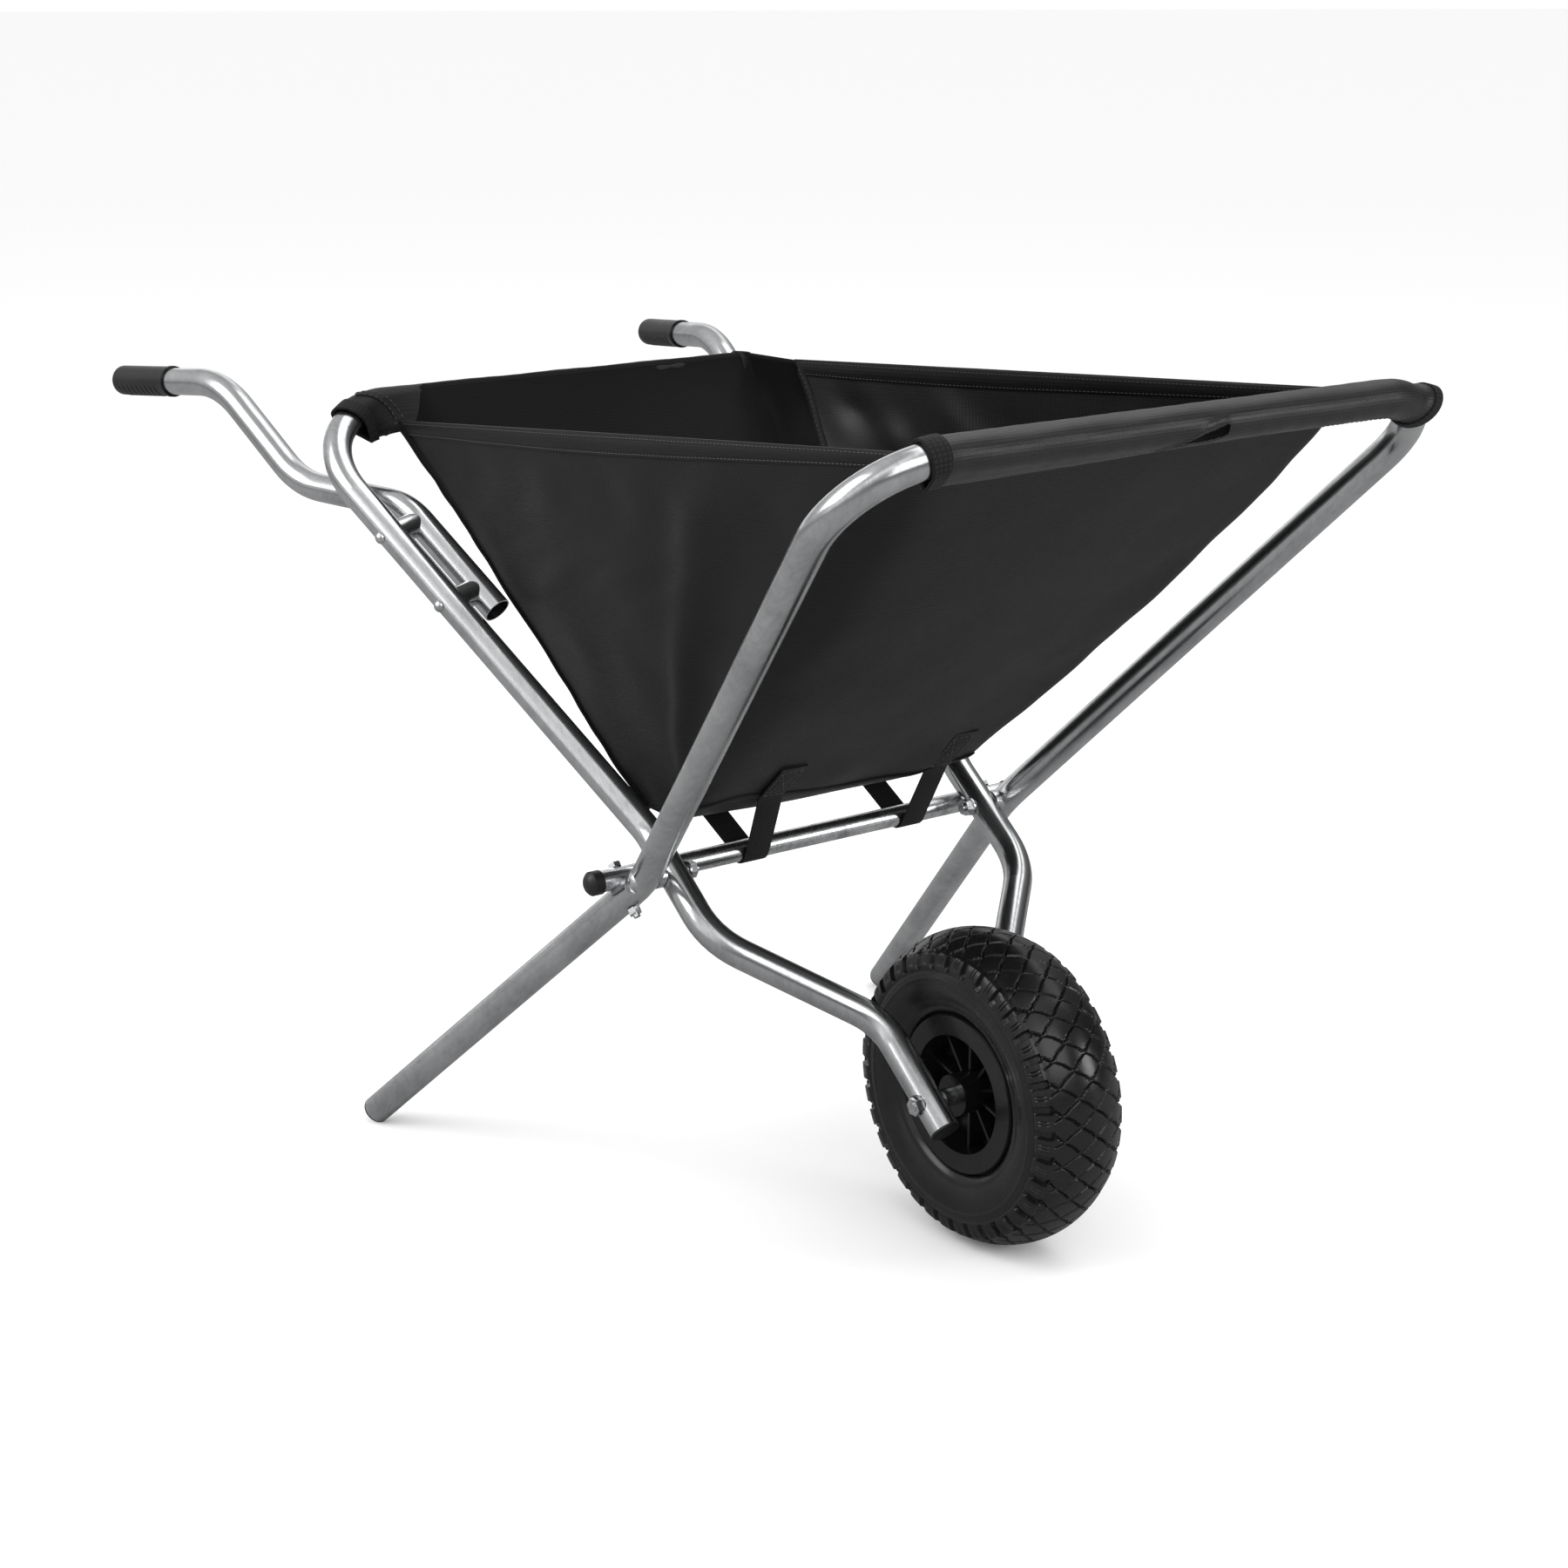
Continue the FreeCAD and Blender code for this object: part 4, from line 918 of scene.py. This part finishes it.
SEAMS = {"rear_right": 0, "rear_left": STARTS[3]}
RIMS = {"right": (0, STARTS[1]), "left": (STARTS[2], STARTS[3])}
SEAM_W = 13 * MM
SEAM_ROWS = range(2, DOWN + 1)
STITCH_ROWS = range(2, DOWN)
RIM_W = 18 * MM
tapes, sack_lines = [], []
for tag, column in SEAMS.items():
    outer, inner = column_line(column, SEAM_ROWS), column_line(column, SEAM_ROWS, inside=True)
    tapes.append(cloth_strip(f"seam_{tag}", *outer, SEAM_W, 1.3 * MM, M_BINDING))
    tapes.append(cloth_strip(f"seam_{tag}_inside", *inner, 9 * MM, 1.0 * MM, M_BINDING))
    for shift in (-4.6 * MM, 4.6 * MM):
        sack_lines.append(line_of(column_line(column, STITCH_ROWS, shift=shift, lift=1.8 * MM)))
    sack_lines.append(line_of(column_line(column, STITCH_ROWS, inside=True, lift=1.6 * MM)))
for tag, (first, last) in RIMS.items():
    for inside in (False, True):
        suffix = "_inside" if inside else ""
        material = M_BINDING if inside else M_CLOTH
        line = row_line(0, first, last, 8 * MM, inside)
        tapes.append(cloth_strip(f"rim_{tag}{suffix}", *line, RIM_W, 1.2 * MM, material))
        for drop in (2.2 * MM, 14.6 * MM):
            sack_lines.append(line_of(row_line(0, first + 1, last - 1, drop, inside, 1.8 * MM)))
floor_line = row_line(DOWN, 0, columns)
tapes.append(cloth_strip("seam_floor", *floor_line, 8 * MM, 1.0 * MM, M_BINDING))
for piece in tapes:
    bend_with_frames(piece)
tapes.append(thread("sack_stitches", sack_lines))


# ---------------------------------------------------------------- straps round the rod
STRAP_W = 25 * MM
STRAP_T = 1.5 * MM
ROD_R = 9 * MM
PATCH_ROWS = 9
STITCH_INSET = 10.5
STRAP_REAR_END = (at(-286, 0, 320)[0], at(-286, 0, 320)[2])


def strap_path(y):
    """Side view of a strap: patch on the front wall, round the rod, up to the floor's rear edge."""
    j = STARTS[1] + int(np.argmin(np.abs(sack_points[DOWN, STARTS[1]:STARTS[2], 1] - y)))
    patch = [sack_points[i, j] + sack_normals[i, j] * 1.3 * MM
             for i in range(DOWN - PATCH_ROWS, DOWN + 1)]
    patch = [np.array([p[0], p[2]]) for p in patch]
    rod = np.array([ROD[0], ROD[2]])
    radius = ROD_R + STRAP_T / 2 + 0.25 * MM
    start, end = patch[-1], np.array(STRAP_REAR_END)

    def touch(point, turn):
        """Where a straight line from the point meets the rod; turn picks the side."""
        d = point - rod
        distance = np.linalg.norm(d)
        base = d / distance
        side = np.array([base[1], -base[0]]) * turn
        lean = asin(radius / distance)
        return rod + base * radius * sin(lean) + side * radius * cos(lean)

    a, b = touch(start, 1), touch(end, -1)
    angle_a = atan2(a[1] - rod[1], a[0] - rod[0])
    angle_b = atan2(b[1] - rod[1], b[0] - rod[0])
    while angle_b > angle_a:
        angle_b -= 2 * pi
    wrap = [rod + radius * np.array([cos(t), sin(t)]) for t in np.linspace(angle_a, angle_b, 24)]
    lead = [mix(start, a, t) for t in np.linspace(0, 1, 8)[1:-1]]
    back = [mix(b, end, t) for t in np.linspace(0, 1, 10)[1:]]
    return patch + lead + wrap + back


REAR_LEAN = 0.40


def strap(name, y, node, front_lean=0.0):
    """A strap with its stitched patch; it leans sideways as it rises from the rod."""
    path = np.array(strap_path(y))
    rise = np.maximum(path[:, 1] - ROD[2], 0.0)
    lean = np.where(path[:, 0] > ROD[0], front_lean, REAR_LEAN) * rise
    points = np.stack([path[:, 0], y - lean, path[:, 1]], 1)
    tangents = np.gradient(points, axis=0)
    verts, uvs = [], []
    half, thick = STRAP_W / 2, STRAP_T / 2
    section = [(-half, -thick * 0.6), (-half, thick * 0.6), (-half * 0.94, thick), (half * 0.94, thick),
               (half, thick * 0.6), (half, -thick * 0.6), (half * 0.94, -thick), (-half * 0.94, -thick)]
    travelled = arc_lengths(points)
    for p, t, s in zip(points, tangents, travelled):
        t = unit(t)
        normal = unit(np.cross(t, [0, 1, 0]))
        for x, h in section:
            verts.append(p + np.array([0, x, 0]) + normal * h)
            uvs.append((s, x))
    faces = ring_faces(len(points), len(section)) + end_caps(len(points), len(section))
    obj = make(name, verts, faces, "leg_frame", M_BINDING, uvs)
    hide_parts(node)
    outward = [unit(np.cross([0, 1, 0], unit(t))) for t in tangents[:PATCH_ROWS]]
    if outward[0][0] < 0:
        outward = [-n for n in outward]

    def on_patch(i, x):
        """A point x millimetres beside the strap's middle at row i, and its outer side."""
        return points[i] + np.array([0, x * MM, 0]) + outward[i] * (thick + 0.15 * MM), outward[i]

    inset, span = STITCH_INSET, PATCH_ROWS - 2
    rails = [[on_patch(i, x) for i in range(1, PATCH_ROWS)] for x in (-inset, inset)]
    ends = [[on_patch(i, x) for x in np.linspace(-inset, inset, 6)] for i in (1, PATCH_ROWS - 1)]
    cross = [[on_patch(1 + k, sign * inset * (2 * k / span - 1)) for k in range(span + 1)]
             for sign in (-1, 1)]
    lines = [([p for p, _ in row], [n for _, n in row]) for row in rails + ends + cross]
    thread(f"{name}_stitches", lines, "leg_frame")


strap("strap_left", 102 * MM, "strap_loop_left")
strap("strap_right", -66 * MM, "strap_loop_right", 0.14)


# ---------------------------------------------------------------- tyre
REPEATS, PER_REPEAT = 36, 28
# millimetres, measured over the tyre's round section from the middle of the tread
PITCH = 26.0
TREAD_EDGE = 33.0
LUG_END = 47.0
TICK_ZONE = (36.0, 43.0)
SIDE_END = 80.0
GROOVE_DEPTH, LUG_DEPTH, TICK_DEPTH, SIDE_DEPTH = 1.8, 3.4, 0.8, 0.7
SECTION_MIDDLE, SECTION_R = 84.0, 42.0


def near_angle(angle, other):
    """The same angle, in the turn that lies nearest to the other one."""
    return other + (angle - other + pi) % (2 * pi) - pi


def arc_through(a, b, c, count):
    """Points of the circle arc that runs from a through b to c."""
    (x1, y1), (x2, y2), (x3, y3) = a, b, c
    q1, q2, q3 = x1**2 + y1**2, x2**2 + y2**2, x3**2 + y3**2
    d = 2 * (x1 * (y2 - y3) + x2 * (y3 - y1) + x3 * (y1 - y2))
    ux = (q1 * (y2 - y3) + q2 * (y3 - y1) + q3 * (y1 - y2)) / d
    uy = (q1 * (x3 - x2) + q2 * (x1 - x3) + q3 * (x2 - x1)) / d
    r = sqrt((x1 - ux) ** 2 + (y1 - uy) ** 2)
    t1 = atan2(y1 - uy, x1 - ux)
    t2 = near_angle(atan2(y2 - uy, x2 - ux), t1)
    t3 = near_angle(atan2(y3 - uy, x3 - ux), t2)
    return [(ux + r * cos(t), uy + r * sin(t)) for t in np.linspace(t1, t3, count + 1)]


def saw(value):
    """A wave of straight lines, 1 at whole numbers and 0 halfway between them."""
    return np.abs((value % 1.0) - 0.5) * 2.0


def rise(value, start, width):
    """A straight rise from 0 to 1 that begins at start."""
    return np.clip((value - start) / width, 0, 1)


def bell(value, centre, width):
    """bump() for whole arrays."""
    return np.exp(-((value - centre) / width) ** 2)


def tyre():
    """The tyre with its lattice of grooves, shoulder lugs and plain sidewall rings, in millimetres."""
    around = REPEATS * PER_REPEAT
    wall = [(58.0, 28.0), (62.0, 28.4), (66.6, 28.9), (67.4, 31.0)]
    side = arc_through((68.2, 32.8), (94.0, 42.2), (117.0, 36.6), 34)
    crown = arc_through((117.0, 36.6), (129.7, 0.0), (117.0, -36.6), 64)
    other_side = [(r, -y) for r, y in reversed(wall + side)]
    profile = np.array(wall + side + crown[1:-1] + other_side)
    tangents = np.gradient(profile, axis=0)
    normals = np.stack([tangents[:, 1], -tangents[:, 0]], 1)
    normals /= np.linalg.norm(normals, axis=1)[:, None]
    if (normals[:, 0] * (profile[:, 0] - 94)).sum() < 0:
        normals = -normals
    theta = np.arange(around) / around * 2 * pi
    turn = theta[None, :] / (2 * pi) * REPEATS
    r, y = profile[:, 0][:, None], profile[:, 1][:, None]
    reach = np.sign(y) * np.arctan2(np.abs(y), r - SECTION_MIDDLE) * SECTION_R
    out = np.abs(reach)
    on_tread, on_side = out < TREAD_EDGE, out >= LUG_END
    on_lugs = ~on_tread & ~on_side

    zig = 0.05 * (saw(turn * 2.0) - 0.5)
    lattice = np.maximum(saw(turn + reach / PITCH + zig), saw(turn - reach / PITCH + zig))
    cut = rise(lattice, 0.9, 0.04) * on_tread * GROOVE_DEPTH
    block = rise(out, TREAD_EDGE, 3.0) * rise(-out, -LUG_END, 2.0) * 0.8
    lug_turn = turn + 0.25 * np.sign(y)
    lug_gap = rise(saw(lug_turn), 0.66, 0.08)
    cut += lug_gap * on_lugs * LUG_DEPTH * rise(-out, -LUG_END, 3.0)
    tick = (saw(lug_turn + 0.57) > 0.955) | (saw(lug_turn + 0.43) > 0.955)
    cut += tick * (out > TICK_ZONE[0]) * (out < TICK_ZONE[1]) * TICK_DEPTH
    cut += on_side * (out < SIDE_END) * SIDE_DEPTH * rise(out, LUG_END, 1.2)
    lines = 0.4 * np.sin(r * 2 * pi / 2.3) * (r > 99.0) * (r < 110.0) * on_side
    lines += 1.0 * bell(r, 72.5, 1.6) + 0.8 * bell(r, 97.0, 0.9) * on_side
    height = block - cut + lines
    px = (r + normals[:, 0][:, None] * height) * MM
    py = (y + normals[:, 1][:, None] * height) * MM
    x = AXLE[0] + px * np.cos(theta)[None, :]
    z = AXLE[2] + px * np.sin(theta)[None, :]
    points = np.stack([x, np.broadcast_to(py, x.shape), z], -1)
    flipped = [tuple(reversed(f)) for f in ring_faces(len(profile), around)]
    obj = make("tyre_tread", points.reshape(-1, 3), flipped, "wheel", M_TYRE)
    obj.data.set_sharp_from_angle(angle=radians(38))
    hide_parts("tyre")


tyre()


# ---------------------------------------------------------------- grips
GRIP_LENGTH = 89 * MM
GRIP_R = 13.8 * MM
GRIP_BORE_R = 12.55 * MM
DOME = 7 * MM
RIB_PITCH = 7.6 * MM


def grip(side):
    """A rubber grip: a domed end, finger ribs below, a lip and a short bore at its mouth."""
    name = "left" if side > 0 else "right"
    tip = GRIP_TIP * np.array([1, side, 1])
    neck = HANDLE_NECK * np.array([1, side, 1])
    along = unit(tip - neck)
    mouth = tip - along * GRIP_LENGTH
    across, up = upright(along)
    around, straight = 64, GRIP_LENGTH - DOME
    stations = list(np.linspace(0, straight, 150))
    stations += [GRIP_LENGTH - DOME * (1 - sin(t)) for t in np.linspace(0.1, pi / 2, 12)]
    turns = [2 * pi * j / around for j in range(around)]

    def point(s, a, r):
        return mouth + along * s + r * (across * sin(a) + up * cos(a))

    verts = []
    for s in stations:
        dome = max(0.0, (s - straight) / DOME)
        base = GRIP_R * sqrt(max(1 - dome ** 2, 0.0))
        lip = 0.6 * MM * smooth((5.5 * MM - s) / (1.0 * MM))
        wave = 0.5 + 0.5 * cos((s - 13 * MM) / RIB_PITCH * 2 * pi)
        zone = smooth((s - 10 * MM) / (3 * MM)) * smooth((GRIP_LENGTH - 13 * MM - s) / (3 * MM))
        for a in turns:
            under = smooth((-cos(a) - 0.05) * 2.2)
            ribs = (0.4 - 1.5 * wave ** 3) * MM * under * zone
            verts.append(point(s, a, base + lip + ribs * (1 - dome)))
    rings = len(stations)
    faces = [tuple(reversed(f)) for f in ring_faces(rings, around)]
    inner = len(verts)
    verts += [point(s, a, GRIP_BORE_R) for s in (0.0, 4 * MM) for a in turns]
    faces += [(j, (j + 1) % around, inner + (j + 1) % around, inner + j) for j in range(around)]
    faces += [tuple(reversed(f)) for f in ring_faces(2, around, inner)]
    faces.append(tuple((rings - 1) * around + j for j in range(around)))
    obj = make(f"grip_sleeve_{name}", verts, faces, "wheel_frame", M_GRIP)
    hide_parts(f"grip_{name}")


for side in (-1, 1):
    grip(side)


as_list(tapes)


# ---------------------------------------------------------------- studio
FLOOR_HALF = 60.0
FLOOR_TONE, FLOOR_IN_REFLECTIONS = 0.96, 0.26
SOFTBOX_SIDE = (-0.55, -0.45, 0.70)
LOOK_AT = (0.0, 0.0, 0.4)
# name, place and width of each square lamp in metres, and its power in watts
LAMPS = [("key", (-1.0, -3.0, 2.7), 2.6, 75), ("fill", (3.2, -0.6, 2.2), 2.2, 34),
         ("side", (2.6, 1.8, 1.1), 0.9, 20), ("top", (0.2, 1.6, 3.8), 3.0, 40)]
# brightness that reflections see, by direction: 0 is away from the softbox side, 1 is towards it
ROOM = [(0.0, 0.03), (0.34, 0.06), (0.50, 0.20), (0.64, 0.55), (0.75, 1.25), (0.86, 0.45), (1.0, 0.7)]


def studio_floor():
    """A wide pale floor that shows darker in reflections."""
    floor_mesh = bpy.data.meshes.new("floor")
    corners = [(x * FLOOR_HALF, y * FLOOR_HALF, 0) for x, y in ((-1, -1), (1, -1), (1, 1), (-1, 1))]
    floor_mesh.from_pydata(corners, [], [(0, 1, 2, 3)])
    floor = add_object("floor", floor_mesh)
    n = Nodes("floor")
    mirrored = n.add("LightPath").outputs["Is Glossy Ray"]
    tones = [(0.0, grey(FLOOR_TONE)), (1.0, grey(FLOOR_IN_REFLECTIONS))]
    n.set(Base_Color=n.ramp(mirrored, tones), Roughness=0.9, Specular_IOR_Level=0.1)
    floor_mesh.materials.append(n.owner)
    floor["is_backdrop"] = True


def studio_world():
    """White light from all round; reflections see a darker room with one bright side instead."""
    n = Nodes("studio", bpy.data.worlds)
    plain = n.tree.nodes["Background"]
    n.put(plain.inputs["Color"], (1.0, 1.0, 1.0, 1))
    n.put(plain.inputs["Strength"], 1.0)
    sides = {0: n.add("TexCoord").outputs["Generated"], 1: tuple(unit(SOFTBOX_SIDE))}
    towards = n.add("VectorMath", sides, operation="DOT_PRODUCT").outputs["Value"]
    level = n.ramp(n.span(towards, 0.0, 1.0, -1.0, 1.0), [(place, grey(v)) for place, v in ROOM])
    room = n.add("Background", {"Color": level}).outputs[0]
    mirrored = n.add("LightPath").outputs["Is Glossy Ray"]
    shown = n.add("MixShader", {0: mirrored, 1: plain.outputs[0], 2: room}).outputs[0]
    n.put(n.tree.nodes["World Output"].inputs["Surface"], shown)
    bpy.context.scene.world = n.owner


def lamp(name, place, width, power):
    """A square area light that faces the barrow."""
    light = bpy.data.lights.new(name, "AREA")
    light.shape = "RECTANGLE"
    light.size, light.size_y = width, width
    light.energy = power
    obj = add_object(name, light)
    obj.location = place
    obj.rotation_euler = (Vector(LOOK_AT) - Vector(place)).to_track_quat("-Z", "Y").to_euler()


CAMERA_PLACE = at(1588.9, -1367.6, 998.4)
CAMERA_RIGHT = (0.5916, 0.8062, -0.0021)
CAMERA_FORWARD = (-0.7738, 0.5670, -0.2824)
SENSOR_WIDTH, LENS, CLIP_END = 36.0, 64.11, 60.0


def camera():
    """The camera that was fitted to the photo's outlines."""
    right = Vector(CAMERA_RIGHT).normalized()
    forward = Vector(CAMERA_FORWARD).normalized()
    up = right.cross(forward).normalized()
    right = forward.cross(up).normalized()
    data = bpy.data.cameras.new("camera")
    data.sensor_width = SENSOR_WIDTH
    data.lens = LENS
    data.clip_end = CLIP_END
    obj = add_object("camera", data)
    rotation = Matrix((right, up, -forward)).transposed().to_4x4()
    obj.matrix_world = Matrix.Translation(Vector(CAMERA_PLACE)) @ rotation
    bpy.context.scene.camera = obj


studio_floor()
studio_world()
for lamp_values in LAMPS:
    lamp(*lamp_values)
camera()
bpy.context.scene.view_settings.view_transform = "Standard"

# ---------------------------------------------------------------- size
low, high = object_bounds()
{"cad": [list(cad_low), list(cad_high)], "visual": [list(low), list(high)]}
